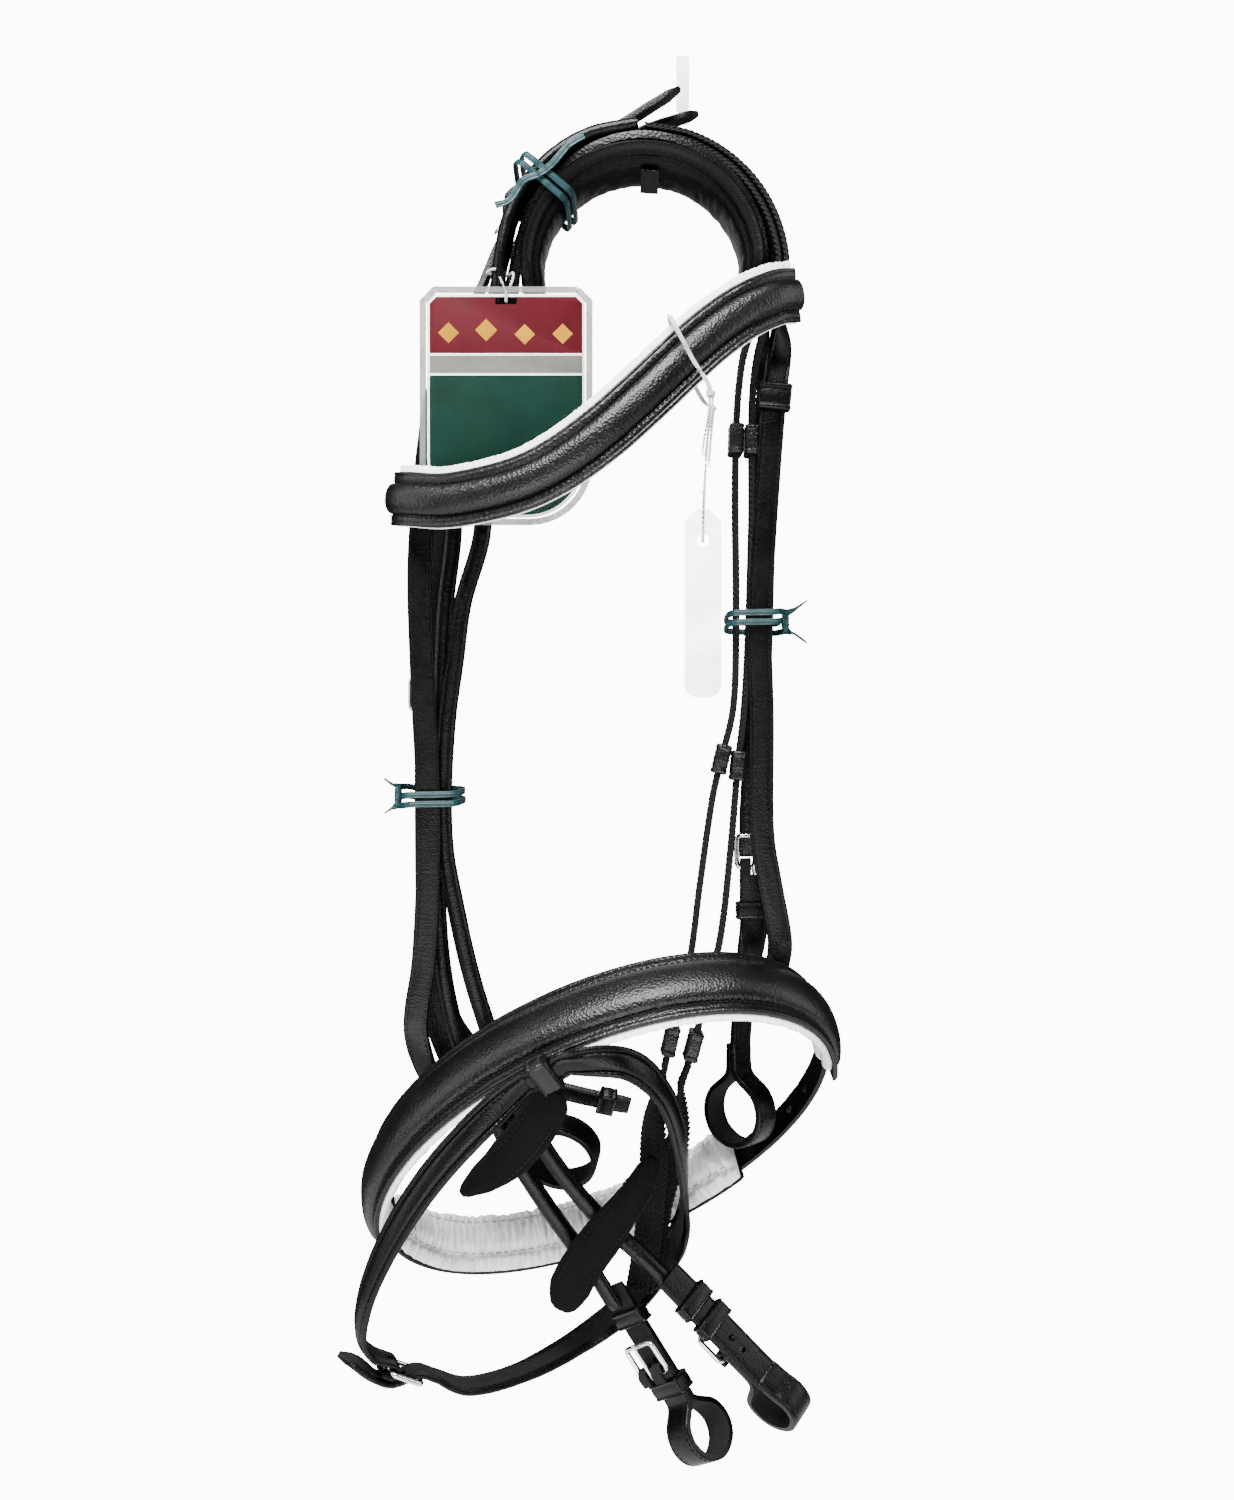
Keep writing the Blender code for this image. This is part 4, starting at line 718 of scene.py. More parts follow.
class Finish:
    """A node material in the making. Its patterns each add one node and return what it puts out."""

    def __init__(self, name):
        self.material = bpy.data.materials.new(name)
        self.material.use_nodes = True
        self.tree = self.material.node_tree
        self.solid = self.place((1, 1, 1), "Object")

    def place(self, scale, source="UV"):
        """The place on the piece that a pattern reads, scaled along three axes."""
        where = added(self.tree, "ShaderNodeTexCoord", {}, source)
        return added(self.tree, "ShaderNodeMapping", {"Scale": scale, "Vector": where})

    def cloudy(self, scale, detail, rough=0.55, where=None):
        """Soft noise."""
        where = self.solid if where is None else where
        return added(self.tree, "ShaderNodeTexNoise",
                     {"Scale": scale, "Detail": detail, "Roughness": rough, "Vector": where}, "Fac")

    def pores(self, scale):
        """A pebbled pattern, the cells of leather's grain."""
        return added(self.tree, "ShaderNodeTexVoronoi", {"Scale": scale, "Vector": self.solid}, "Distance")

    def ranged(self, value, low, high, first=0.0, last=1.0):
        """Maps a pattern's values to a range."""
        return added(self.tree, "ShaderNodeMapRange", {"From Min": first, "From Max": last, "To Min": low,
                                                       "To Max": high, "Value": value}, "Result")

    def tinted(self, value, low, high):
        """A colour between two, by a pattern."""
        return added(self.tree, "ShaderNodeMix", {"A": (*low, 1), "B": (*high, 1), "Factor": value}, "Result",
                     data_type="RGBA")

    def times(self, one, two, operation="MULTIPLY"):
        """The product of two patterns or numbers, or what another operation makes of them."""
        return added(self.tree, "ShaderNodeMath", {0: one, 1: two}, operation=operation)

    def raised(self, height, distance, strength, under=None):
        """A bump from a pattern's height, on top of another."""
        inputs = {"Strength": strength, "Distance": distance, "Height": height}
        if under is not None:
            inputs["Normal"] = under
        return added(self.tree, "ShaderNodeBump", inputs)

    def finished(self, colour, roughness, bump, specular=0.5, others=None):
        """Joins everything to the shader and returns the material."""
        fed(self.tree, self.tree.nodes["Principled BSDF"],
            {"Base Color": colour, "Roughness": roughness, "Normal": bump,
             "Specular IOR Level": specular, **(others or {})})
        return self.material


# Materials
def leather(name, dark, light, rough_low, rough_high, gloss, grain=1150, grain_deep=0.00016, creases=0.00012):
    """Grained leather with fine creases across it and a worn, uneven gloss."""
    look = Finish(name)
    patch = look.cloudy(55, 5)
    fine = look.cloudy(grain * 2.4, 3)
    crease = look.cloudy(1.0, 3, 0.6, look.place((620, 70, 70)))
    worn = look.times(look.times(patch, 0.6), look.times(fine, 0.4), "ADD")
    creased = look.raised(crease, creases, 0.8)
    grained = look.raised(look.pores(grain), grain_deep, 0.7, creased)
    return look.finished(look.tinted(patch, dark, light), look.ranged(worn, rough_low, rough_high, 0.3, 0.7),
                         look.raised(fine, grain_deep * 0.35, 0.5, grained), gloss)


def white_lining(name):
    """Soft white leather that wrinkles across the pad, with painted shade in its folds."""
    look = Finish(name)
    fold = look.cloudy(1.0, 5, 0.62, look.place((430, 75, 75)))
    patch = look.cloudy(60, 4)
    # Painted shade: the colour greys where the fold bump sinks, times a random patch tone
    shade = look.times(look.ranged(fold, 0.0, 1.0, 0.36, 0.6), look.ranged(patch, 0.75, 1.0, 0.3, 0.7))
    return look.finished(look.tinted(shade, (0.62, 0.615, 0.6), (0.95, 0.945, 0.93)),
                         look.ranged(patch, 0.42, 0.62),
                         look.raised(look.pores(1300), 0.00012, 0.5, look.raised(fold, 0.0007, 0.75)))


def brushed_suede(name, dark, light):
    """The rough flesh side of leather, with short fibres."""
    look = Finish(name)
    patch = look.cloudy(90, 5)
    nap = look.cloudy(2600, 6, 0.7)
    return look.finished(look.tinted(look.times(patch, nap), dark, light), look.ranged(patch, 0.72, 0.95),
                         look.raised(nap, 0.0003, 0.8), 0.1, {"Sheen Weight": 0.015, "Sheen Roughness": 0.5})


def spun(name, dark, light, across, along, rough):
    """Thread, cord or braid with a twisted lay along its UVs."""
    look = Finish(name)
    strands = added(look.tree, "ShaderNodeTexWave",
                    {"Scale": 1.0, "Distortion": 0.6, "Vector": look.place((along, across, 1))}, "Fac",
                    wave_type="BANDS", bands_direction="DIAGONAL")
    fibre = look.cloudy(3800, 4)
    return look.finished(look.tinted(look.times(strands, fibre), dark, light),
                         look.ranged(fibre, rough - 0.12, rough + 0.1),
                         look.raised(fibre, 0.00008, 0.5, look.raised(strands, 0.0002, 0.7)), 0.18)


def bright_metal(name):
    """Polished nickel with hairline scratches and dull patches."""
    look = Finish(name)
    hair = look.cloudy(1.0, 3, where=look.place((2600, 260, 900), "Object"))
    patch = look.cloudy(220, 4)
    return look.finished(look.tinted(patch, (0.56, 0.55, 0.53), (0.82, 0.81, 0.79)),
                         look.ranged(patch, 0.1, 0.3, 0.3, 0.75), look.raised(hair, 0.00003, 0.5),
                         others={"Metallic": 1.0})


def ribbed_plastic(name):
    """Soft teal plastic strip with woven ribs and scuffs."""
    look = Finish(name)
    weave = added(look.tree, "ShaderNodeTexChecker", {"Scale": 1.0, "Vector": look.place((1500, 5200, 1))}, "Fac")
    patch = look.cloudy(260, 5)
    return look.finished(look.tinted(patch, (0.0006, 0.012, 0.014), (0.004, 0.04, 0.045)),
                         look.ranged(patch, 0.26, 0.46),
                         look.raised(patch, 0.0004, 0.6, look.raised(weave, 0.00008, 0.6)), 0.25)


def clear_film(name, colour, alpha, rough, mottle, scale=500):
    """Thin clear plastic, a little milky in patches."""
    look = Finish(name)
    patch = look.cloudy(40, 4)
    blot = look.times(patch, look.cloudy(scale, 5, 0.65))
    return look.finished((*colour, 1), look.ranged(patch, rough * 0.7, rough * 1.5),
                         look.raised(patch, 0.001, 0.35),
                         others={"Alpha": look.ranged(blot, alpha - mottle, alpha + mottle, 0.1, 0.45)})


def printed(name, colour, light, rough=0.42, scale=1800):
    """Printed card under its film, with a faint mottle."""
    look = Finish(name)
    grain = look.cloudy(scale, 5, 0.6)
    patch = look.cloudy(70, 3)
    shade = look.ranged(look.times(grain, patch), 0, 1, 0.1, 0.4)
    return look.finished(look.tinted(shade, colour, light), look.ranged(patch, rough - 0.08, rough + 0.1),
                         look.raised(grain, 0.00004, 0.4), 0.06)


DEEP_BLACK = (0.0001, 0.0001, 0.0002)
BAND_LEATHER = leather("padded_black_leather", (0.0003, 0.0003, 0.0003), (0.001, 0.0013, 0.0012), 0.28, 0.42,
                       0.27, grain=800, grain_deep=0.00028, creases=0.00008)
STRAP_LEATHER = leather("black_strap_leather", DEEP_BLACK, (0.0006, 0.0007, 0.0008), 0.24, 0.38, 0.15)
ROLLED_LEATHER = leather("rolled_black_leather", DEEP_BLACK, (0.0006, 0.0007, 0.0009), 0.24, 0.38, 0.16,
                         creases=0.0002)
PAD_LEATHER = leather("soft_black_leather", DEEP_BLACK, (0.0006, 0.0006, 0.0007), 0.34, 0.5, 0.12,
                      creases=0.00016)
SOFT_SUEDE = brushed_suede("soft_black_suede", DEEP_BLACK, (0.0014, 0.0015, 0.0018))
FLESH_SIDE = brushed_suede("grey_flesh_side", (0.003, 0.0032, 0.0028), (0.018, 0.019, 0.016))
LINING = white_lining("white_soft_leather")
BLACK_THREAD = spun("black_waxed_thread", (0.0002, 0.0002, 0.0002), (0.0016, 0.0016, 0.0016), 2200, 2600, 0.7)
GREY_THREAD = spun("grey_waxed_thread", (0.1, 0.1, 0.1), (0.32, 0.31, 0.3), 2200, 2600, 0.6)
PLAIT = spun("black_plaited_cord", (0.001, 0.001, 0.0014), (0.008, 0.0085, 0.0095), 1600, 1500, 0.72)
COTTON = spun("white_twisted_cotton", (0.45, 0.45, 0.44), (0.88, 0.88, 0.86), 1500, 2400, 0.85)
NICKEL = bright_metal("polished_nickel")
TIE_PLASTIC = ribbed_plastic("teal_tie_plastic")
SLEEVE = clear_film("clear_tag_sleeve", (0.05, 0.055, 0.05), 0.05, 0.12, 0.03)
MILKY = clear_film("milky_speckled_film", (0.93, 0.94, 0.94), 0.6, 0.3, 0.28, 900)
WELD = clear_film("welded_film_edge", (0.15, 0.155, 0.145), 0.8, 0.25, 0.1)
CARD_STOCK = printed("white_card", (0.72, 0.72, 0.7), (0.86, 0.86, 0.85))
LABEL_STOCK = printed("blank_white_label", (0.78, 0.78, 0.77), (0.92, 0.92, 0.92), 0.5)
PRINT_MAROON = printed("maroon_print", (0.04, 0.0004, 0.003), (0.056, 0.0008, 0.005), 0.6)
PRINT_SILVER = printed("silver_grey_print", (0.085, 0.083, 0.074), (0.13, 0.128, 0.115), 0.4)
PRINT_GREEN = printed("dark_green_print", (0.0003, 0.012, 0.008), (0.0006, 0.018, 0.012), 0.6)
PRINT_GOLD = printed("yellow_print", (0.28, 0.12, 0.001), (0.36, 0.17, 0.003), 0.6)
FLOOR_PAPER = printed("studio_paper", (0.8, 0.8, 0.8), (0.84, 0.84, 0.84), 0.8, 300)


# Sewing and plaiting
def knot_tree(name):
    """A tree that sets one rounded stitch or strand after another along a path on the surface."""
    tree = bpy.data.node_groups.new(name, "GeometryNodeTree")
    for title, kind in (("Path", "Geometry"), ("Pitch", "Float"), ("Length", "Float"), ("Width", "Float"),
                        ("Height", "Float"), ("Finish", "Material")):
        tree.interface.new_socket(title, in_out="INPUT", socket_type="NodeSocket" + kind)
    tree.interface.new_socket("Stitches", in_out="OUTPUT", socket_type="NodeSocketGeometry")
    given = tree.nodes.new("NodeGroupInput").outputs
    curve = added(tree, "GeometryNodeMeshToCurve", {"Mesh": given["Path"]})
    divided = added(tree, "GeometryNodeResampleCurve", {"Curve": curve, "Length": given["Pitch"]}, mode="LENGTH")
    ball = added(tree, "GeometryNodeMeshUVSphere", {"Segments": 6, "Rings": 6, "Radius": 0.5})
    lying = added(tree, "GeometryNodeTransform", {"Geometry": ball, "Rotation": (0, math.pi / 2, 0)})
    sizes = added(tree, "ShaderNodeCombineXYZ",
                  {"X": given["Length"], "Y": given["Width"], "Z": given["Height"]})
    stitch = added(tree, "GeometryNodeTransform", {"Geometry": lying, "Scale": sizes})
    named = "GeometryNodeInputNamedAttribute"
    outward = added(tree, named, {"Name": "outward"}, "Attribute", data_type="FLOAT_VECTOR")
    lean = added(tree, named, {"Name": "lean"}, "Attribute", data_type="FLOAT")
    tangent = added(tree, "GeometryNodeInputTangent", {})
    stand = added(tree, "FunctionNodeAlignRotationToVector", {"Vector": outward}, axis="Z")
    turn = added(tree, "FunctionNodeAlignRotationToVector", {"Rotation": stand, "Vector": tangent}, axis="X",
                 pivot_axis="Z")
    about = added(tree, "FunctionNodeAxisAngleToRotation", {"Axis": (0, 0, 1), "Angle": lean})
    slant = added(tree, "FunctionNodeRotateRotation", {"Rotation": turn, "Rotate By": about},
                  rotation_space="LOCAL")
    put = added(tree, "GeometryNodeInstanceOnPoints", {"Points": divided, "Instance": stitch, "Rotation": slant})
    real = added(tree, "GeometryNodeRealizeInstances", {"Geometry": put})
    dressed = added(tree, "GeometryNodeSetMaterial", {"Geometry": real, "Material": given["Finish"]})
    fed(tree, tree.nodes.new("NodeGroupOutput"), {"Stitches": dressed})
    return tree


STITCH_TREE = knot_tree("row_of_stitches")


def put_in(name, data):
    """An object with its mesh, lamp or camera, put into the scene."""
    made = bpy.data.objects.new(name, data)
    bpy.context.scene.collection.objects.link(made)
    return made


def evaluated(made):
    """The plain mesh that an object's modifiers make of it."""
    graph = bpy.context.evaluated_depsgraph_get()
    return bpy.data.meshes.new_from_object(made.evaluated_get(graph), depsgraph=graph)


def baked(made, sizes, tree):
    """Runs a tree on a path with named sizes and returns the plain mesh that it makes."""
    step = made.modifiers.new(tree.name, "NODES")
    step.node_group = tree
    for socket in tree.interface.items_tree:
        if socket.in_out == "INPUT" and socket.name in sizes:
            step[socket.identifier] = sizes[socket.name]
    made.update_tag()
    bpy.context.view_layer.update()
    mesh = evaluated(made)
    bpy.data.objects.remove(made, do_unlink=True)
    return mesh


def laid(name, rows, finish, pitch=STITCH_PITCH, length=STITCH_LONG, width=THREAD, height=THREAD):
    """Stitches or strands along rows, each row a list of places and outward directions, and a lean."""
    data = bpy.data.meshes.new(name + "_path")
    points = []
    edges = []
    outs = []
    leans = []
    for places, looks, lean in rows:
        first = len(points)
        points += [tuple(place) for place in places]
        outs += [value for look in looks for value in look]
        leans += [lean] * len(places)
        edges += [(first + index, first + index + 1) for index in range(len(places) - 1)]
    data.from_pydata(points, edges, [])
    data.attributes.new("outward", "FLOAT_VECTOR", "POINT").data.foreach_set("vector", outs)
    data.attributes.new("lean", "FLOAT", "POINT").data.foreach_set("value", leans)
    sizes = {"Pitch": pitch, "Length": length, "Width": width, "Height": height, "Finish": finish}
    mesh = baked(put_in(name + "_path", data), sizes, STITCH_TREE)
    mesh.name = name
    mesh.shade_smooth()
    settle(put_in(name, mesh))


def surface_row(frames, across, out, lean, outward=1):
    """A row that lies a distance across and out from the line of a strap."""
    places = [point + width * across + facing * out for point, _, facing, width in frames]
    return places, [item[2] * outward for item in frames], lean


def sew(group, *rows):
    """Remembers rows of stitches, to be sewn together for one piece."""
    SEAMS.setdefault(group, []).extend(rows)


def sew_edges(group, frames, width, thick, inside=SEAM_IN, both_faces=False):
    """Rows of stitches inside both edges of a strap."""
    for side in (-1, 1):
        across = side * (width / 2 - inside)
        sew(group, surface_row(frames, across, thick / 2, 0.08 * side))
        if both_faces:
            sew(group, surface_row(frames, across, -thick / 2, 0.08 * side, -1))


def between(frames, first_length, last_length):
    """The frames of a strap between two lengths from its start."""
    run = 0.0
    kept = []
    before = frames[0][0]
    for item in frames:
        run += (item[0] - before).length
        before = item[0]
        if first_length <= run <= last_length:
            kept.append(item)
    return kept


def length_of(frames):
    """The length of a strap's line."""
    return sum((two[0] - one[0]).length for one, two in zip(frames, frames[1:]))


def cut_box(centre, along, facing, width, spans):
    """A box for cutting, with its spans along and out, and half its width across."""
    data = bmesh.new()
    bmesh.ops.create_cube(data, size=1.0)
    (low_a, high_a), (low_f, high_f), half_w = spans
    for vert in data.verts:
        run = low_a + (high_a - low_a) * (vert.co.x + 0.5)
        out = low_f + (high_f - low_f) * (vert.co.y + 0.5)
        vert.co = centre + along * run + facing * out + width * (half_w * 2 * vert.co.z)
    return data


def punch(frame_at, length, bore):
    """A round punch through a strap, a little oval where the leather gives."""
    point, along, facing, width = frame_at
    rings = []
    reach = length / 2 + OVERRUN
    data = bmesh.new()
    sides = 18
    for end in (-reach, reach):
        ring = []
        for side in range(sides):
            turn = math.tau * side / sides
            ring.append(data.verts.new(point + facing * end + along * (bore / 2 * 1.08 * math.cos(turn))
                                       + width * (bore / 2 * math.sin(turn))))
        rings.append(ring)
    for side in range(sides):
        after = (side + 1) % sides
        data.faces.new((rings[0][side], rings[0][after], rings[1][after], rings[1][side]))
    return capped(data, rings)


def take_out(piece_data, cutters):
    """Cuts shapes out of a piece and returns the cut mesh data."""
    mesh = outward_mesh("being_cut", piece_data)
    mesh.materials.append(STRAP_LEATHER)
    mesh.materials.append(FLESH_SIDE)
    target = put_in("being_cut", mesh)
    tools = [put_in("cutting_tool", outward_mesh("cutting_tool", data)) for data in cutters]
    for tool in tools:
        step = target.modifiers.new("cut", "BOOLEAN")
        step.operation = "DIFFERENCE"
        step.solver = "MANIFOLD"
        step.object = tool
    result = evaluated(target)
    for item in [target] + tools:
        bpy.data.objects.remove(item, do_unlink=True)
    data = bmesh.new()
    data.from_mesh(result)
    bpy.data.meshes.remove(result)
    return data


# Fittings
def wire(name, places, looks, radius, node, closed=False, taper=None):
    """A round nickel wire along places."""
    frames = []
    count = len(places)
    for index, (place_at, look) in enumerate(zip(places, looks)):
        ahead = places[(index + 1) % count] if closed else places[min(index + 1, count - 1)]
        behind = places[index - 1] if closed or index else places[0]
        along = (ahead - behind).normalized()
        facing = (look - along * look.dot(along)).normalized()
        frames.append((place_at, along, facing, along.cross(facing)))
    turns = [math.tau * side / 14 for side in range(14)]
    section = [(radius * math.cos(turn), radius * math.sin(turn)) for turn in turns]
    keep(name, skin(frames, section, taper, closed), NICKEL, node, own_body(node))


def rounded_loop(half_across, half_out, corner, steps=6):
    """Points round a rectangle with round corners."""
    points = []
    for sign_a, sign_o, first in ((1, 1, 0), (-1, 1, 90), (-1, -1, 180), (1, -1, 270)):
        centre = (sign_a * (half_across - corner), sign_o * (half_out - corner))
        points += arc(centre, corner, first, first + 90, steps)
    return points


def own_body(name):
    """The body that a piece rides on: its own where it moves, or else the bridle."""
    return name if name in frame["bodies"] else "bridle"


def buckle(frame_name, tongue_name, end, strap_width, thick):
    """A bright frame with its tongue, as the solids have them but smooth and with a tapered tip."""
    _, along, facing, width = end
    bar = bar_centre(end, thick)
    half_across = strap_width / 2 + GAP + BAR_RADIUS
    centre = bar + along * (BUCKLE_LENGTH / 2)
    outline = rounded_loop(half_across, BUCKLE_LENGTH / 2, BAR_RADIUS * 2.0)
    places = [centre + width * across + along * run for across, run in outline]
    wire(frame_name + "_frame", places, [facing] * len(places), BAR_RADIUS, frame_name, closed=True)
    turn = BAR_RADIUS + GAP + TONGUE_RADIUS
    places = []
    for step in range(17):
        angle = math.radians(350 - 260 * step / 16)
        places.append(bar + (along * math.cos(angle) + facing * math.sin(angle)) * turn)
    reach = BUCKLE_LENGTH + BAR_RADIUS + TONGUE_RADIUS
    places += [bar + facing * turn + along * (reach * share) for share in (0.2, 0.4, 0.6, 0.8, 0.95, 1.0)]

    def tip(near, far):
        return 0.55 + 0.45 * min(1.0, far / 0.004) ** 0.5
    wire(tongue_name + "_wire", places, [width] * len(places), TONGUE_RADIUS, tongue_name, taper=tip)


def leather_loop(node, suffix, at, strap_width, strap_thick, wall=KEEPER_WALL, length=KEEPER_LENGTH,
                 ridge=0.0003, finish=STRAP_LEATHER, group=None):
    """A keeper: a band of leather bent round a strap, with rolled edges and a pressed line near each."""
    point, along, facing, width = at
    inner_across = strap_width + GAP * 2
    inner_out = strap_thick + GAP * 2
    corner = min(wall * 0.9, min(inner_across, inner_out) / 2 + wall * 0.8)
    outline = rounded_loop(inner_across / 2 + wall, inner_out / 2 + wall, corner, 4)
    inline = rounded_loop(inner_across / 2, inner_out / 2, wall * 0.1, 4)
    shares = ((-0.5, 0.45), (-0.47, 0.9), (-0.4, 1.0 + ridge / wall), (-0.33, 1.0), (-0.27, 0.88),
              (-0.2, 1.0), (0.0, 1.03), (0.2, 1.0), (0.27, 0.88), (0.33, 1.0),
              (0.4, 1.0 + ridge / wall), (0.47, 0.9), (0.5, 0.45))
    data = bmesh.new()
    weave = data.loops.layers.uv.new("weave")
    rings = []
    for (out_a, out_o), (in_a, in_o) in zip(outline, inline):
        ring = [(in_a, in_o, -0.49), *[(in_a + (out_a - in_a) * lift, in_o + (out_o - in_o) * lift, share)
                                       for share, lift in shares], (in_a, in_o, 0.49)]
        rings.append([data.verts.new(point + width * across + facing * out + along * (length * share))
                      for across, out, share in ring])
    for index, ring in enumerate(rings):
        after = rings[(index + 1) % len(rings)]
        for step in range(len(ring)):
            beyond = (step + 1) % len(ring)
            face = data.faces.new((ring[step], after[step], after[beyond], ring[beyond]))
            marks = ((index, step), (index + 1, step), (index + 1, step + 1), (index, step + 1))
            for loop, mark in zip(face.loops, marks):
                loop[weave].uv = (mark[0] * 0.0012, mark[1] * 0.0012)
    keep(node + suffix, data, finish, node, own_body(node))
    if group:
        places = [point + width * across + facing * out + along * (length * 0.27) for across, out in outline]
        looks = [width * math.copysign(1, across) if abs(across) > inner_across / 2 + wall * 0.5
                 else facing * math.copysign(1, out) for across, out in outline]
        sew(group, (places, looks, 0.0))


# Straps
def tongue_slot(end, thick):
    """The slot in a curled end through which its tongue stands."""
    _, along, facing, width = end
    eye = BAR_RADIUS + GAP + TONGUE_RADIUS * 2
    reach = thick + GAP + BAR_RADIUS + OVERRUN
    under = thick + GAP * 1.5 + BAR_RADIUS
    return cut_box(bar_centre(end, thick), along, facing, width,
                   ((-eye - GAP, reach), (-under, reach), SLOT_WIDTH / 2))


def tongue_way(end, thick):
    """The hole through which a fastened tongue passes a threaded strap."""
    _, along, facing, width = end
    turn = BAR_RADIUS + GAP + TONGUE_RADIUS
    half = TONGUE_RADIUS + GAP
    return cut_box(bar_centre(end, thick), along, facing, width,
                   ((-turn - half, BUCKLE_LENGTH), (turn - half, turn + half), SLOT_WIDTH / 2))


def leather_strap(name, frames, width, thick, seed, taper=None, end=None, cutters=(), section=None,
                  finish=STRAP_LEATHER, crumpled=0.00016):
    """A cut, creased and slightly uneven leather strap that stands for the solid of its name.

    With an end frame, it curls round its buckle's bar there and has a slot for the tongue.
    """
    if end:
        frames = frames + curl_frames(end, thick, 16)
        cutters = [tongue_slot(end, thick), *cutters]
    data = skin(frames, section or strap_section(width, thick), taper,
                shape=crumple(crumpled, 140, 260, seed), flesh_below=-thick * 0.42)
    if cutters:
        data = take_out(data, cutters)
    keep(name + "_leather", data, finish, name)


def make_cheekpieces():
    """Both cheekpieces with sewn edges, their buckles and the right one's keeper."""
    left_shares = [(-0.95, 0.17, 0.9), (-1.06, 0.165, 0.855), (-1.1, 0.165, 0.8), (-1.12, LEFT_CHEEK_LANE, 0.723),
                   (-1.125, LEFT_CHEEK_LANE, 0.611), (-1.125, LEFT_CHEEK_LANE, 0.56),
                   (-1.125, LEFT_CHEEK_LANE, 0.53)]
    right_shares = [(0.49, 0.14, 0.805, FRONT + RIGHT), (0.53, 0.175, 0.755), (0.53, RIGHT_CHEEK_LANE, 0.715),
                    (0.53, RIGHT_CHEEK_LANE, 0.69)]
    ends = []
    for side, bit, rows in (("left", LEFT_BIT, left_shares), ("right", RIGHT_BIT, right_shares)):
        route = joined(44, reverse(bit.course()), rows)
        end = end_frame(*stretch(rows))
        frames = fine_frames(route)
        leather_strap("cheekpiece_" + side, frames, CHEEK_WIDTH, CHEEK_THICK, 3.0 if side == "left" else 5.0,
                      end=end)
        sew_edges("cheekpieces", frames[2:-3], CHEEK_WIDTH, CHEEK_THICK, both_faces=True)
        buckle("cheek_buckle_" + side, "cheek_tongue_" + side, end, CHEEK_WIDTH, CHEEK_THICK)
        ends.append(end)
    seat = route.frame(1 - CHEEK_KEEPER_IN / route.length)
    leather_loop("cheek_keeper_right", "_loop", seat, CHEEK_WIDTH, CHEEK_THICK, group="keepers")
    laid("cheekpiece_stitching", SEAMS["cheekpieces"], BLACK_THREAD)
    return ends


def make_crown(left_end, right_end):
    """The padded headpiece: a puffed underside, a full leather top and legs down to the cheek buckles."""
    half = PAD_WIDTH / 2
    frames = Line(*over_crown(PAD_THICK, 0, 190, -6, 14), 150).frames()
    section = puffed_section(-half, half, PAD_THICK, (0.13, 0.87), 44, 0.3)

    def folds(length, total, across, out, run):
        middle = 1 - abs(across) / half
        wave = ripple(length, across, 45, 190, 2.0) * 0.0007 + ripple(length, across, 25, 60, 4.0) * 0.0006
        return across, out - abs(wave) * min(1.0, middle * 4) * (1 if out < -PAD_THICK * 0.4 else 0)

    def ends(near, far):
        return 0.6 + 0.4 * math.sqrt(min(1.0, min(near, far) / 0.011))
    pad = keep("poll_pad_cushion", skin(frames, section, ends, shape=folds), PAD_LEATHER, "poll_pad")
    for share in (-0.37, 0.37):
        sew("crown", surface_row(frames[4:-4], PAD_WIDTH * share, -PAD_THICK * 0.72, 0.06, -1))
    out = Vector((0.08, 0, 1)).normalized()
    under = ARCH_CENTRE + out * (ARCH_RADIUS - GAP - KEEPER_WALL / 2)
    steps = [-0.3 + 0.6 * step / 24 for step in range(25)]
    across = [(under + BACK * (PAD_WIDTH * share), BACK, out, BACK.cross(out)) for share in steps]
    leather_strap("poll_keeper", across, KEEPER_LENGTH, KEEPER_WALL, seed=7.0)
    left_tip = past_buckle(left_end, CHEEK_THICK, HEADPIECE_THICK)
    right_tip = past_buckle(right_end, CHEEK_THICK, HEADPIECE_THICK)
    left_leg_shares = [(-1.1, LEFT_CHEEK_LANE, 0.42), (-1.05, LEFT_CHEEK_LANE, 0.33),
                       (-0.88, 0.12, 0.235, FRONT + LEFT), (-0.72, 0.07, 0.165, LEFT)]
    right_leg_shares = [(0.588, 0.06, 0.098, RIGHT), (0.588, 0.09, 0.128, RIGHT), (0.58, 0.11, 0.165, RIGHT),
                        (0.6, 0.15, 0.22, FRONT + RIGHT), (0.58, RIGHT_CHEEK_LANE, 0.3),
                        (0.56, RIGHT_CHEEK_LANE, 0.44), (0.54, RIGHT_CHEEK_LANE, 0.59)]
    route = joined(54, left_tip, left_leg_shares, over_crown(HEADPIECE_LEVEL, 0, 178, 25, 8),
                   right_leg_shares, reverse(right_tip))
    leg_share = HEADPIECE_LEG_WIDTH / HEADPIECE_WIDTH
    half_arch = math.pi / 2 * (ARCH_RADIUS + HEADPIECE_LEVEL)
    top = crown_share(route) * route.length

    def width_share(near, far):
        away = min(abs(near - top) / half_arch, 1.0)
        return leg_share + (1 - leg_share) * (0.5 + 0.5 * math.cos(math.pi * away))
    frames = fine_frames(route)
    leather_strap("headpiece", frames, HEADPIECE_WIDTH, HEADPIECE_THICK, 9.0, width_share,
                  section=strap_section(HEADPIECE_WIDTH, HEADPIECE_THICK, 0.3, 0.0003), finish=BAND_LEATHER)
    looks = [item[2] for item in frames[1:]]
    for side in (-1, 1):
        run = 0.0
        places = []
        for before, item in zip(frames, frames[1:]):
            run += (item[0] - before[0]).length
            wide = width_share(run, 0) * HEADPIECE_WIDTH / 2 - SEAM_IN
            places.append(item[0] + item[3] * (wide * side) + item[2] * (HEADPIECE_THICK / 2))
        sew("crown", (places[12:-12], looks[12:-12], 0.06))
    laid("crown_stitching", SEAMS["crown"], BLACK_THREAD)


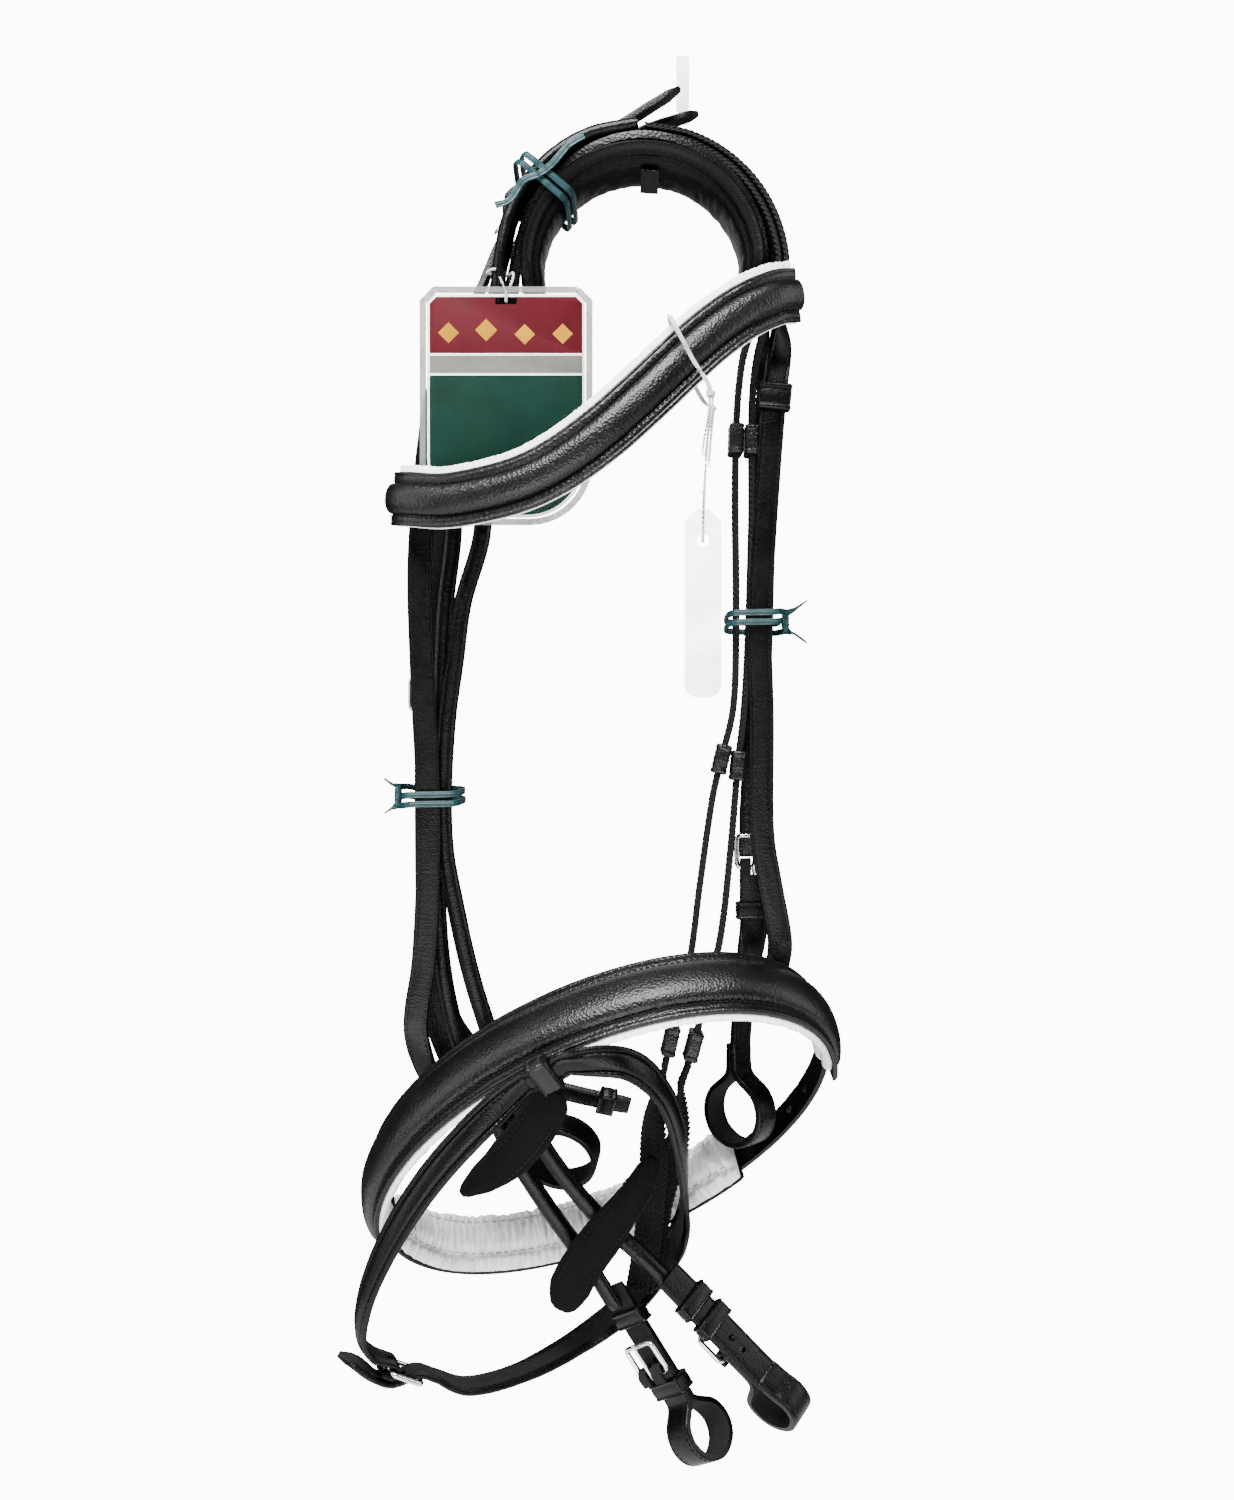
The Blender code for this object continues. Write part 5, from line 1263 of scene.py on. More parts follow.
def make_headstrap():
    """The noseband's headstrap, its buckle at the crown and the browband's two loops."""
    inner = -(NOSEBAND_LINING_THICK + GAP * 3 + HEADSTRAP_THICK / 2)
    lane = RIGHT_STRAP_LANE
    right_shares = [(0.64, lane, 0.76), (0.59, lane, 0.702), (0.55, lane, 0.647), (0.55, lane, 0.54),
                    (0.54, lane, 0.443), (0.57, lane, 0.334), (0.61, lane, 0.228), (0.63, -0.1, 0.195),
                    (0.65, -0.05, 0.165, FRONT + RIGHT * 0.6), (0.655, 0.05, 0.125, RIGHT)]
    crown = over_crown(HEADSTRAP_LEVEL, HEADSTRAP_ASIDE, 2, 150, 10)
    end = end_frame(*crown)
    route = joined(46, on_noseband(40, inner, 0.0, 0.5), right_shares, crown)
    frames = fine_frames(route)
    leather_strap("headstrap_right", frames, HEADSTRAP_WIDTH, HEADSTRAP_THICK, 11.0, end=end, crumpled=0.0003)
    sew_edges("headstrap", frames[2:-3], HEADSTRAP_WIDTH, HEADSTRAP_THICK, FINE_SEAM_IN)
    buckle("headstrap_buckle", "headstrap_tongue", end, HEADSTRAP_WIDTH, HEADSTRAP_THICK)
    leather_loop("browband_loop_right", "_leather", route.frame(share_at_height(route, 0.223)),
                 HEADSTRAP_WIDTH, HEADSTRAP_THICK, length=KEEPER_LENGTH * 1.5, group="keepers")
    lane = LEFT_STRAP_LANE
    left_shares = [(-1.16, lane, 0.848), (-1.12, lane, 0.779), (-1.1, lane, 0.7), (-1.1, lane, 0.611),
                   (-1.13, lane, 0.486), (-1.14, lane, 0.38), (-1.09, lane, 0.264),
                   (-1.02, -0.06, 0.184, FRONT + LEFT), (-0.86, 0.02, 0.115, LEFT)]
    tail_shares = [(-0.25, HEADSTRAP_ASIDE / DEPTH, -0.044, UP + LEFT * 0.8),
                   (-0.05, HEADSTRAP_ASIDE / DEPTH, -0.069, UP + LEFT * 0.8),
                   (0.15, HEADSTRAP_ASIDE / DEPTH, -0.094, UP + LEFT * 0.8)]
    tip = joined(58, on_noseband(151, inner, 0.0, 0.5), left_shares, threaded(end, HEADSTRAP_THICK), tail_shares)
    frames = fine_frames(tip)
    punches = [punch(frames[min(range(len(frames)), key=lambda index: abs(index / len(frames) - share))],
                     HEADSTRAP_THICK, HEADSTRAP_HOLE) for share in (0.865, 0.89, 0.915, 0.94)]
    leather_strap("headstrap_left", frames, HEADSTRAP_WIDTH, HEADSTRAP_THICK, 13.0, tip_taper(end_length=0.007),
                  cutters=[tongue_way(end, HEADSTRAP_THICK), *punches], crumpled=0.0003)
    sewn = between(frames, 0.004, length_of(frames) * 0.8)
    sew_edges("headstrap", sewn, HEADSTRAP_WIDTH, HEADSTRAP_THICK, FINE_SEAM_IN)
    laid("headstrap_stitching", SEAMS["headstrap"], BLACK_THREAD)
    leather_loop("browband_loop_left", "_leather", tip.frame(share_at_height(tip, 0.33)),
                 HEADSTRAP_WIDTH, HEADSTRAP_THICK, length=KEEPER_LENGTH * 1.5, group="keepers")


def make_throatlash():
    """The throatlash, folded down the left bundle with its tip over the crown."""
    lane = THROATLASH_LANE
    hanging_shares = [(-0.1, 0.2, 0.935, DOWN + FRONT), (-0.4, 0.2, 0.922, DOWN + FRONT),
                      (-0.7, 0.22, 0.905, FRONT + DOWN), (-0.95, 0.23, 0.87), (-1.09, 0.22, 0.81),
                      (-1.13, lane, 0.72), (-1.13, lane, 0.611), (-1.12, lane, 0.45), (-1.1, lane + 0.01, 0.31),
                      (-0.98, 0.25, 0.215, FRONT + LEFT), (-0.81, 0.23, 0.15, LEFT)]
    aside = THROATLASH_ASIDE / DEPTH
    tail_shares = [(-0.05, aside, -0.06, UP), (0.25, aside, -0.08, UP)]
    crown = over_crown(THROATLASH_LEVEL, THROATLASH_ASIDE, 176, 116, 5)
    route = joined(50, hanging_shares, crown, tail_shares)
    frames = fine_frames(route)
    leather_strap("throatlash", frames, THROATLASH_WIDTH, THROATLASH_THICK, 15.0, tip_taper(end_length=0.009))
    sew_edges("throatlash", frames[4:-8], THROATLASH_WIDTH, THROATLASH_THICK, FINE_SEAM_IN)
    laid("throatlash_stitching", SEAMS["throatlash"], BLACK_THREAD)
    seat = route.frame(THROATLASH_KEEPER_IN / route.length)
    leather_loop("throatlash_keeper", "_loop", seat, THROATLASH_WIDTH, THROATLASH_THICK, group="keepers")


# Reins, bands and everything that hangs on them
def plaited_web(side, route):
    """A rein's webbing: a thin core with strands plaited slantwise over both of its faces."""
    frames = fine_frames(route, 0.003)
    core = [(WEB_WIDTH * across, WEB_THICK * out) for across, out in
            ((0.46, -0.36), (0.49, 0), (0.46, 0.36), (0, 0.38), (-0.46, 0.36), (-0.49, 0), (-0.46, -0.36),
             (0, -0.38))]
    keep("rein_web_" + side + "_core", skin(frames, core), PLAIT, "rein_web_" + side)
    rows = []
    columns = 6
    for column in range(columns):
        across = WEB_WIDTH * ((column + 0.5) / columns - 0.5)
        lean = PLAIT_LEAN if column % 2 else -PLAIT_LEAN
        for outward in (1, -1):
            rows.append(surface_row(frames, across, WEB_THICK * 0.3 * outward, lean, outward))
    for edge in (-1, 1):
        places = [item[0] + item[3] * (WEB_WIDTH * 0.455 * edge) for item in frames]
        rows.append((places, [item[3] * edge for item in frames], PLAIT_LEAN))
    laid("rein_web_" + side + "_plait", rows, PLAIT, pitch=0.0029, length=0.0047, width=0.0018, height=0.00115)


def hand_stop(name, route, drop_share):
    """A leather sleeve sewn round the webbing as a stop for the hand."""
    seat = route.frame(share_at_height(route, drop_share))
    leather_loop(name, "_sleeve", seat, WEB_WIDTH, WEB_THICK, STOP_WALL, STOP_LENGTH, finish=BAND_LEATHER)
    point, along, facing, width = seat
    half = WEB_WIDTH / 2 + GAP + STOP_WALL
    rise = WEB_THICK / 2 + GAP + STOP_WALL
    steps = [step / 10 - 0.5 for step in range(11)]
    for side in (-1, 1):
        middle = point + width * (half * 0.72 * side) + facing * (rise * side)
        places = [middle + along * (STOP_LENGTH * 0.84 * share) for share in steps]
        sew("stops", (places, [facing * side] * len(steps), 0.0))


def make_reins():
    """Both reins: rolled leather on the left, plaited webbing with hand stops on the right."""
    lane = FRONT_ROLLED_LANE
    first_shares = [(-0.77, -0.13, 0.16, LEFT + FRONT), (-0.81, -0.06, 0.222, FRONT + LEFT), (-0.83, lane, 0.302),
                    (-0.84, lane, 0.36), (-0.93, lane, 0.423), (-0.97, lane, 0.481), (-1.01, lane, 0.541),
                    (-1.03, lane, 0.611), (-1.02, lane, 0.671), (-0.97, lane, 0.725), (-0.9, lane, 0.788),
                    (-0.81, lane, 0.847), (-0.71, lane, 0.9), (-0.59, lane, 0.947), (-0.43, lane, 0.995),
                    (-0.24, lane, 1.039)]
    lane = BACK_ROLLED_LANE
    second_shares = [(-0.82, -0.02, 0.16, LEFT + FRONT), (-0.92, 0.0, 0.222, FRONT + LEFT), (-0.98, lane, 0.302),
                     (-0.99, lane, 0.36), (-1.03, lane, 0.43), (-1.05, lane, 0.521), (-1.07, lane, 0.611),
                     (-1.07, lane, 0.702), (-1.05, lane, 0.775), (-1.0, lane, 0.834), (-0.92, lane, 0.883),
                     (-0.8, lane, 0.933), (-0.65, lane, 0.988), (-0.5, lane, 1.034), (-0.37, lane, 1.07)]
    section = rolled_section(ROLLED_WIDTH, ROLLED_THICK)
    for side, aside, rows, bit in (("left", FRONT_ROLLED_ASIDE, first_shares, FIRST_REIN),
                                   ("right", BACK_ROLLED_ASIDE, second_shares, SECOND_REIN)):
        behind = -(BILLET_THICK / 2 + GAP + ROLLED_THICK / 2)
        look = bit.face if side == "left" else -bit.face
        seat = ([bit.at(-SEAT_BEFORE, behind), bit.at(SEAT_AFTER, behind)], [look, look])
        route = joined(44, over_crown(ROLLED_LEVEL, aside, 92, 176, 5), rows, seat)
        frames = fine_frames(route, 0.0018)
        data = skin(frames, section, shape=crumple(0.00022, 330, 120, 21.0 if side == "left" else 23.0))
        keep("rein_rolled_" + side + "_leather", data, ROLLED_LEATHER, "rein_rolled_" + side)
        sew("rolled", surface_row(frames[4:-4], 0, -ROLLED_THICK * 0.47, 0.06, -1))
    laid("rolled_rein_stitching", SEAMS["rolled"], BLACK_THREAD)
    first_web_shares = [(0.56, -0.11, 0.132, RIGHT), (0.48, -0.08, 0.168, RIGHT), (0.45, -0.04, 0.195, RIGHT),
                        (0.432, 0.0, 0.243, RIGHT), (0.425, 0.0, 0.321, RIGHT), (0.43, 0.0, 0.421, RIGHT),
                        (0.42, 0.0, 0.521, RIGHT), (0.36, 0.0, 0.577, RIGHT), (0.31, 0.0, 0.621, RIGHT),
                        (0.25, 0.0, 0.704, RIGHT), (0.2, 0.0, 0.779, RIGHT), (0.115, 0.0, 0.85, RIGHT),
                        (0.07, 0.0, 0.89, RIGHT), (0.02, 0.05, 0.94, RIGHT + FRONT), (0.02, 0.072, 0.985),
                        (0.01, 0.09, 1.03), (-0.02, 0.1, 1.08), (-0.05, 0.1, 1.115)]
    second_web_shares = [(0.615, -0.12, 0.125, RIGHT), (0.555, -0.09, 0.16, RIGHT), (0.52, -0.04, 0.195, RIGHT),
                         (0.508, 0.0, 0.243, RIGHT), (0.508, 0.0, 0.341, RIGHT), (0.49, 0.0, 0.461, RIGHT),
                         (0.47, 0.0, 0.531, RIGHT), (0.44, 0.0, 0.584, RIGHT), (0.4, 0.0, 0.676, RIGHT),
                         (0.35, 0.0, 0.76, RIGHT), (0.25, 0.0, 0.841, RIGHT), (0.19, 0.0, 0.885, RIGHT),
                         (0.15, 0.015, 0.912, RIGHT), (0.15, 0.13, 0.955, RIGHT + FRONT), (0.11, 0.165, 0.99),
                         (0.05, 0.158, 1.03), (0.01, 0.155, 1.08), (-0.02, 0.155, 1.115)]
    stops = {"left": (0.262, 0.58, 0.862), "right": (0.262, 0.586, 0.866)}
    plans = (("left", WEB_LEVEL, first_web_shares), ("right", OUTER_WEB_LEVEL, second_web_shares))
    for side, level, rows in plans:
        route = joined(44, over_crown(level, WEB_ASIDE, 88, 2, 6), rows)
        for index, drop_share in enumerate(stops[side]):
            hand_stop("hand_stop_%s_%d" % (side, index + 1), route, drop_share)
        plaited_web(side, route)
    laid("hand_stop_stitching", SEAMS["stops"], BLACK_THREAD)


def make_rein_ends():
    """The billets that loop round the bit, with holes, buckles and keepers."""
    plans = (("left", FIRST_REIN, ((REIN_KEEPER_DOWN, 1), (SECOND_KEEPER_DOWN, 1))),
             ("right", SECOND_REIN, ((REIN_KEEPER_DOWN, 1), (DOUBLE_KEEPER_DOWN, 2))))
    for side, bit, keepers in plans:
        places, facings = bit.course()
        route = Line(places, facings, 32)
        end = end_frame(places, facings)
        frames = fine_frames(route)
        holes = [punch(bit.frame(bit.run * share), BILLET_THICK, STRAP_HOLE * 0.8) for share in (0.68, 0.8)]
        leather_strap("rein_billet_" + side, frames, BILLET_WIDTH, BILLET_THICK, 31.0 if side == "left" else 33.0,
                      end=end, cutters=holes)
        sew_edges("billets", frames[3:-4], BILLET_WIDTH, BILLET_THICK)
        buckle("rein_buckle_" + side, "rein_tongue_" + side, end, BILLET_WIDTH, BILLET_THICK)
        for index, (along, runs) in enumerate(keepers):
            seat = bit.frame(along, -bit.apart / 2 * (runs - 1))
            leather_loop("rein_keeper_%s_%d" % (side, index + 1), "_loop", seat, BILLET_WIDTH,
                         BILLET_THICK + bit.apart * (runs - 1))
    laid("billet_stitching", SEAMS["billets"], BLACK_THREAD)


def band_rows(group, frames, width, edge, ridge_share):
    """The two sewn rows beside a padded band's ridge."""
    half = width / 2
    for side in (-1, 1):
        across = side * (half - (half - half * ridge_share) * 0.8)
        sew(group, surface_row(frames, across, edge + 0.0001, 0.05 * side))


def pad_folds(amount, thick, seed, lip_at=-1.0):
    """Creases that run across a padded lining, deepest in the middle of its back."""
    def shape(length, total, across, out, run):
        deep = min(1.0, -out / thick * 1.4) if out < 0 else 0.0
        wave = abs(ripple(length, across, 26, 250, seed)) + 0.5 * abs(ripple(length, across, 60, 620, seed + 1))
        broad = ripple(length, across, 20, 55, seed + 2) * 0.5
        lip = min(1.0, max(0.0, (lip_at - across) / 0.0015)) * min(1.0, max(0.0, -out / thick * 4))
        gathered = abs(ripple(length, 0.0, 1, 420, seed + 3)) + 0.5 * ripple(length, 0.0, 1, 900, seed + 4)
        return across + gathered * amount * lip * 0.8, out + (wave + broad) * amount * deep
    return shape


def make_noseband():
    """The padded front band, its white lining, the strap with holes and the chin pad."""
    frames = NOSE.frames(9, 202, 210)
    face = padded_section(NOSEBAND_WIDTH, NOSEBAND_EDGE, NOSEBAND_CROWN, NOSEBAND_RIDGE, 2.5)
    keep("noseband_front_leather", skin(frames, face, shape=crumple(0.00014, 60, 60, 41.0)), BAND_LEATHER,
         "noseband_front")
    band_rows("noseband", frames[2:-2], NOSEBAND_WIDTH, NOSEBAND_EDGE, NOSEBAND_RIDGE)
    half = NOSEBAND_WIDTH / 2
    lining = puffed_section(-half - NOSEBAND_LINING_LIP, half - GAP, NOSEBAND_LINING_THICK, LINING_SEAMS, 30)
    frames = NOSE.frames(13, 201, 420, level=-GAP)

    def ends(near, far):
        return 0.8 + 0.2 * math.sqrt(min(1.0, near / 0.014, far / 0.014))
    folds = pad_folds(0.0012, NOSEBAND_LINING_THICK, 43.0, -half)
    pad = keep("noseband_lining_pad", skin(frames, lining, ends, shape=folds), LINING, "noseband_lining")
    for share in LINING_SEAMS:
        across = -half - NOSEBAND_LINING_LIP + (NOSEBAND_WIDTH + NOSEBAND_LINING_LIP - GAP) * share
        sew("lining", surface_row(frames[4:-4], across, -NOSEBAND_LINING_THICK * 0.66, 0.05, -1))
    frames = NOSE.frames(8.6, -100, 110)
    data = take_out(skin(frames, strap_section(NOSE_STRAP_WIDTH, NOSE_STRAP_THICK), tip_taper(end_length=0.009),
                         shape=crumple(0.00016, 140, 260, 45.0)),
                    [punch(NOSE.frame(angle), NOSE_STRAP_THICK, STRAP_HOLE) for angle in (0, -9, -18, -27)])
    keep("noseband_strap_leather", data, STRAP_LEATHER, "noseband_strap")
    make_chin_pad()
    laid("noseband_stitching", SEAMS["noseband"], BLACK_THREAD, pitch=0.003, length=0.0022, width=0.0009,
         height=0.0006)
    laid("lining_stitching", SEAMS["lining"], GREY_THREAD, pitch=0.0042, length=0.003)


def make_chin_pad():
    """The wide white chin pad on its black leather backing."""
    level = -(NOSE_STRAP_THICK / 2 + GAP + CHIN_COVER_THICK)
    half = CHIN_PAD_WIDTH / 2 - 0.0008
    rim = 0.0007
    cover = [(half - rim, 0), (half, rim), (half, CHIN_COVER_THICK - rim), (half - rim, CHIN_COVER_THICK),
             (rim - half, CHIN_COVER_THICK), (-half, CHIN_COVER_THICK - rim), (-half, rim), (rim - half, 0)]
    keep("chin_pad_backing", skin(NOSE.frames(-38, -156, 90, level=level), cover), STRAP_LEATHER,
         "chin_pad_cover")
    section = puffed_section(-half - 0.0014, half + 0.0014, CHIN_PAD_THICK, LINING_SEAMS, 48, 0.5)
    frames = NOSE.frames(-38.4, -155.6, 330, level=level - GAP)

    def ends(near, far):
        return 0.93 + 0.07 * math.sqrt(min(1.0, min(near, far) / 0.004))
    folds = pad_folds(0.0042, CHIN_PAD_THICK, 47.0)

    def shape(length, total, across, out, run):
        near = min(length, total - length)
        full = math.sqrt(min(1.0, (near + 0.0006) / 0.006))
        seam = 1 - 0.3 * math.exp(-((near - 0.0065) / 0.0018) ** 2)
        across, out = folds(length, total, across, out, run)
        return across, out * (full * seam if out < 0 else 1.0)
    pad = keep("chin_pad_cushion", skin(frames, section, ends, shape=shape), LINING, "chin_pad")
    rows = frames[8:-8]
    for share in LINING_SEAMS:
        sew("lining", surface_row(rows, CHIN_PAD_WIDTH * (share - 0.5), -CHIN_PAD_THICK * 0.6, 0.05, -1))
    for point, _, facing, width in (rows[10], rows[-10]):
        places = [point + width * (CHIN_PAD_WIDTH * (0.2 + 0.6 * step / 12 - 0.5)) - facing * (CHIN_PAD_THICK * 0.68)
                  for step in range(13)]
        sew("lining", (places, [-facing] * 13, 0.05))


def make_flash():
    """The flash strap through its loop on the noseband, with its two soft pads and buckle."""
    below = -(NOSEBAND_WIDTH / 2 + NOSEBAND_LINING_LIP + GAP * 2 + KEEPER_WALL + FLASH_THICK / 2)
    seat = NOSE.frame(115, 0, below)
    first_shares = [(-1.52, -0.25, 1.158, DOWN + LEFT * 0.3), (-1.44, -0.25, 1.166, DOWN + LEFT * 0.3)]
    run_shares = [(-0.9, -0.1, 1.2, DOWN + BACK * 0.3), (-0.65, 0.0, 1.194, DOWN + BACK * 0.3),
                  (-0.38, 0.14, 1.174, DOWN + BACK * 0.6), (-0.1, 0.22, 1.137, BACK + DOWN * 0.5),
                  (0.1, 0.205, 1.085, BACK + RIGHT * 0.5), (0.165, 0.09, 1.05, RIGHT + BACK * 0.5),
                  (0.17, 0.0, 1.015, RIGHT), (0.14, -0.26, 0.95, RIGHT + FRONT * 0.6),
                  (0.05, -0.5, 0.895, RIGHT + FRONT + UP * 0.5), (-0.12, -0.66, 0.862, FRONT + UP * 0.3)]
    last_shares = [(-0.84, -0.69, 0.925, FRONT + LEFT * 0.4), (-1.04, -0.63, 0.972, FRONT + LEFT * 0.6),
                   (-1.22, -0.55, 1.028, FRONT + LEFT), (-1.35, -0.44, 1.085, LEFT + FRONT * 0.6),
                   (-1.4, -0.34, 1.132, LEFT + FRONT * 0.3 + DOWN * 0.3), (-1.36, -0.27, 1.156, LEFT + DOWN),
                   (-1.26, -0.23, 1.166, DOWN + LEFT * 0.4)]
    end = end_frame(*stretch(last_shares))
    seats = [seat[0] + seat[1] * (FLASH_WIDTH * share) for share in (-0.9, -0.45, 0, 0.45, 0.9)]
    through_loop = (seats, [-seat[3]] * len(seats))
    route = joined(60, first_shares, reverse(threaded(end, FLASH_THICK)), run_shares, through_loop,
                   last_shares)
    frames = fine_frames(route)
    leather_strap("flash_strap", frames, FLASH_WIDTH, FLASH_THICK, 51.0, tip_taper(start_length=0.009), end,
                  [tongue_way(end, FLASH_THICK)], ridged_strap(FLASH_WIDTH, FLASH_THICK))
    sew_edges("flash", frames[6:-6], FLASH_WIDTH, FLASH_THICK, FLASH_SEAM_IN)
    laid("flash_stitching", SEAMS["flash"], BLACK_THREAD)
    buckle("flash_buckle", "flash_tongue", end, FLASH_WIDTH, FLASH_THICK)
    loop_frame = (seat[0], seat[1], -seat[3], seat[1].cross(-seat[3]))
    leather_loop("flash_loop", "_leather", loop_frame, FLASH_WIDTH, FLASH_THICK, length=KEEPER_LENGTH * 1.3,
                 ridge=0.0009, finish=BAND_LEATHER)
    pads = (("flash_pad_upper", [(-0.46, -0.575, 0.8875), (-0.55, -0.55, 0.925), (-0.7, -0.52, 0.96),
                                 (-0.9, -0.5, 0.99)]),
            ("flash_pad_lower", [(0.02, -0.117, 0.972), (-0.08, -0.117, 1.01), (-0.25, -0.117, 1.055),
                                 (-0.37, -0.117, 1.09), (-0.44, -0.117, 1.124)]))
    for name, rows in pads:
        frames = fine_frames(Line(*stretch(rows), 12), 0.0012)
        section = [(across, out * (1 - 0.25 * math.exp(-((abs(across) - SOFT_PAD_WIDTH * 0.38) / 0.0012) ** 2)))
                   for across, out in rolled_section(SOFT_PAD_WIDTH, SOFT_PAD_THICK, 44)]

        def ends(near, far):
            start = 0.45 + 0.55 * min(1.0, near / 0.05) ** 0.8 if name == "flash_pad_lower" else 1.0
            tip = 0.5 + 0.5 * min(1.0, far / 0.03) if name == "flash_pad_upper" else 1.0
            return start * tip * (0.35 + 0.65 * math.sqrt(min(1.0, near / 0.008, far / 0.012)))
        data = skin(frames, section, ends, shape=crumple(0.0009, 150, 150, 53.0))
        pad = keep(name + "_suede", data, SOFT_SUEDE, name)
        for side in (-1, 1):
            for out in (1, -1):
                sew("pads", surface_row(frames[14:-10], side * SOFT_PAD_WIDTH * 0.34, out * SOFT_PAD_THICK * 0.4,
                                        0.08, out))
    laid("soft_pad_stitching", SEAMS["pads"], BLACK_THREAD, pitch=0.0026, length=0.0018, width=0.0008,
         height=0.0007)


def make_browband():
    """The padded browband with its white lining."""
    band_shares = [(-1.25, -0.18, 0.325, LEFT + FRONT), (-1.17, -0.28, 0.328, LEFT + FRONT * 2),
                   (-0.96, -0.39, 0.332), (-0.66, -0.49, 0.322), (-0.45, -0.53, 0.304), (-0.24, -0.55, 0.275),
                   (-0.04, -0.53, 0.239), (0.23, -0.46, 0.186), (0.43, -0.38, 0.153),
                   (0.6, -0.3, 0.134, FRONT * 2 + RIGHT), (0.71, -0.21, 0.127, FRONT + RIGHT * 1.5)]
    frames = fine_frames(Line(*stretch(band_shares), 30), 0.0016)
    face = padded_section(BROWBAND_WIDTH, BROWBAND_EDGE, BROWBAND_CROWN, BROWBAND_RIDGE)
    keep("browband_leather", skin(frames, face, shape=crumple(0.00012, 60, 60, 61.0)), BAND_LEATHER, "browband")
    band_rows("browband", frames[3:-3], BROWBAND_WIDTH, BROWBAND_EDGE, BROWBAND_RIDGE)
    laid("browband_stitching", SEAMS["browband"], BLACK_THREAD, pitch=0.0028, length=0.002, width=0.0008,
         height=0.00055)
    half = BROWBAND_WIDTH / 2
    lining = puffed_section(-half - BROWBAND_LINING_LIP, half + GAP, BROWBAND_LINING_THICK, (0.16, 0.84), 26)
    behind = LOOSE + GAP
    frames = [(item[0] - item[2] * behind, *item[1:])
              for item in fine_frames(Line(*stretch(band_shares), 30), 0.0008)]
    folds = pad_folds(0.0011, BROWBAND_LINING_THICK, 63.0, -half - 0.001)
    pad = keep("browband_lining_pad", skin(frames, lining, shape=folds), LINING, "browband_lining")


# Ties, tags and strings
def tie_section(width, thick):
    """A tie's section: two thin wings with fine ribs and a round core."""
    points = []
    halves = (0.08, 0.22, 0.34, 0.44, 0.58, 0.72, 0.86, 1.0)
    for share in [-half for half in reversed(halves)] + list(halves):
        core = math.sqrt(max(0.0, 1 - (share / 0.36) ** 2)) * 0.5
        rib = 0.24 + 0.09 * (1 if abs(share) in (0.86, 0.58) else 0)
        points.append((share * width / 2, max(core, rib) * thick))
    return points + [(across, -out) for across, out in reversed(points)]


def side_look(places, index):
    """A direction that is square to a string at one of its places."""
    ahead = places[min(index + 1, len(places) - 1)]
    behind = places[max(index - 1, 0)]
    along = (ahead - behind).normalized()
    return along.cross(Vector((0.31, 0.17, 0.93))).normalized()


def wrapped(middle, wrap_shares):
    """Places to the left, in front and above a middle, as shares of a string's wrap."""
    return [middle + (LEFT * left + FRONT * front + UP * up) * STRING_WRAP for left, front, up in wrap_shares]


def tie(name, centre, across, out, half_across, half_out, tail):
    """A ribbed plastic strip twice round a bundle, with its twisted knot and two loose ends."""
    up = across.cross(out)
    knot = centre - across * (half_across + TIE_THICK + GAP) - out * half_out * 0.3
    pitch = TIE_WIDTH + GAP
    places = [knot - across * tail - up * (pitch + tail * 0.5), knot - across * tail * 0.3 - up * pitch * 1.1]
    facings = [-across + up, -across - out * 0.5]
    turns = 32
    for step in range(turns + 1):
        angle = math.tau * (0.55 + step / turns * 1.94)
        wide = math.copysign(abs(math.cos(angle)) ** SQUARENESS_SHARE, math.cos(angle))
        deep = math.copysign(abs(math.sin(angle)) ** SQUARENESS_SHARE, math.sin(angle))
        places.append(centre + across * (wide * half_across) + out * (deep * half_out)
                      + up * (pitch * 2 * (step / turns - 0.5)))
        facings.append((across * wide / half_across + out * deep / half_out).normalized())
    places += [knot - across * tail * 0.3 + up * pitch * 1.1, knot - across * tail + up * (pitch + tail * 0.5)]
    facings += [-across - out * 0.5, -across - up]
    frames = fine_frames(Line(places, facings, 56), 0.0011)
    data = skin(frames, tie_section(TIE_WIDTH * 0.74, TIE_THICK), shape=crumple(0.0003, 260, 60, 71.0))
    keep(name + "_strip", data, TIE_PLASTIC, name)
    steps = 60
    for strand in (0, 1):
        places = []
        looks = []
        for step in range(steps + 1):
            share = step / steps - 0.5
            angle = math.tau * (share * 1.6 + strand / 2)
            radial = out * math.cos(angle) + across * math.sin(angle)
            swell = TIE_THICK * 1.25 * (1 - 1.6 * share * share)
            places.append(knot - across * TIE_THICK * 0.9 + up * (share * pitch * 2.4) + radial * swell)
            looks.append(radial)
        data = skin(Line(places, looks, steps).frames(), tie_section(TIE_WIDTH * 0.62, TIE_THICK))
        keep(name + "_knot_" + str(strand + 1), data, TIE_PLASTIC)


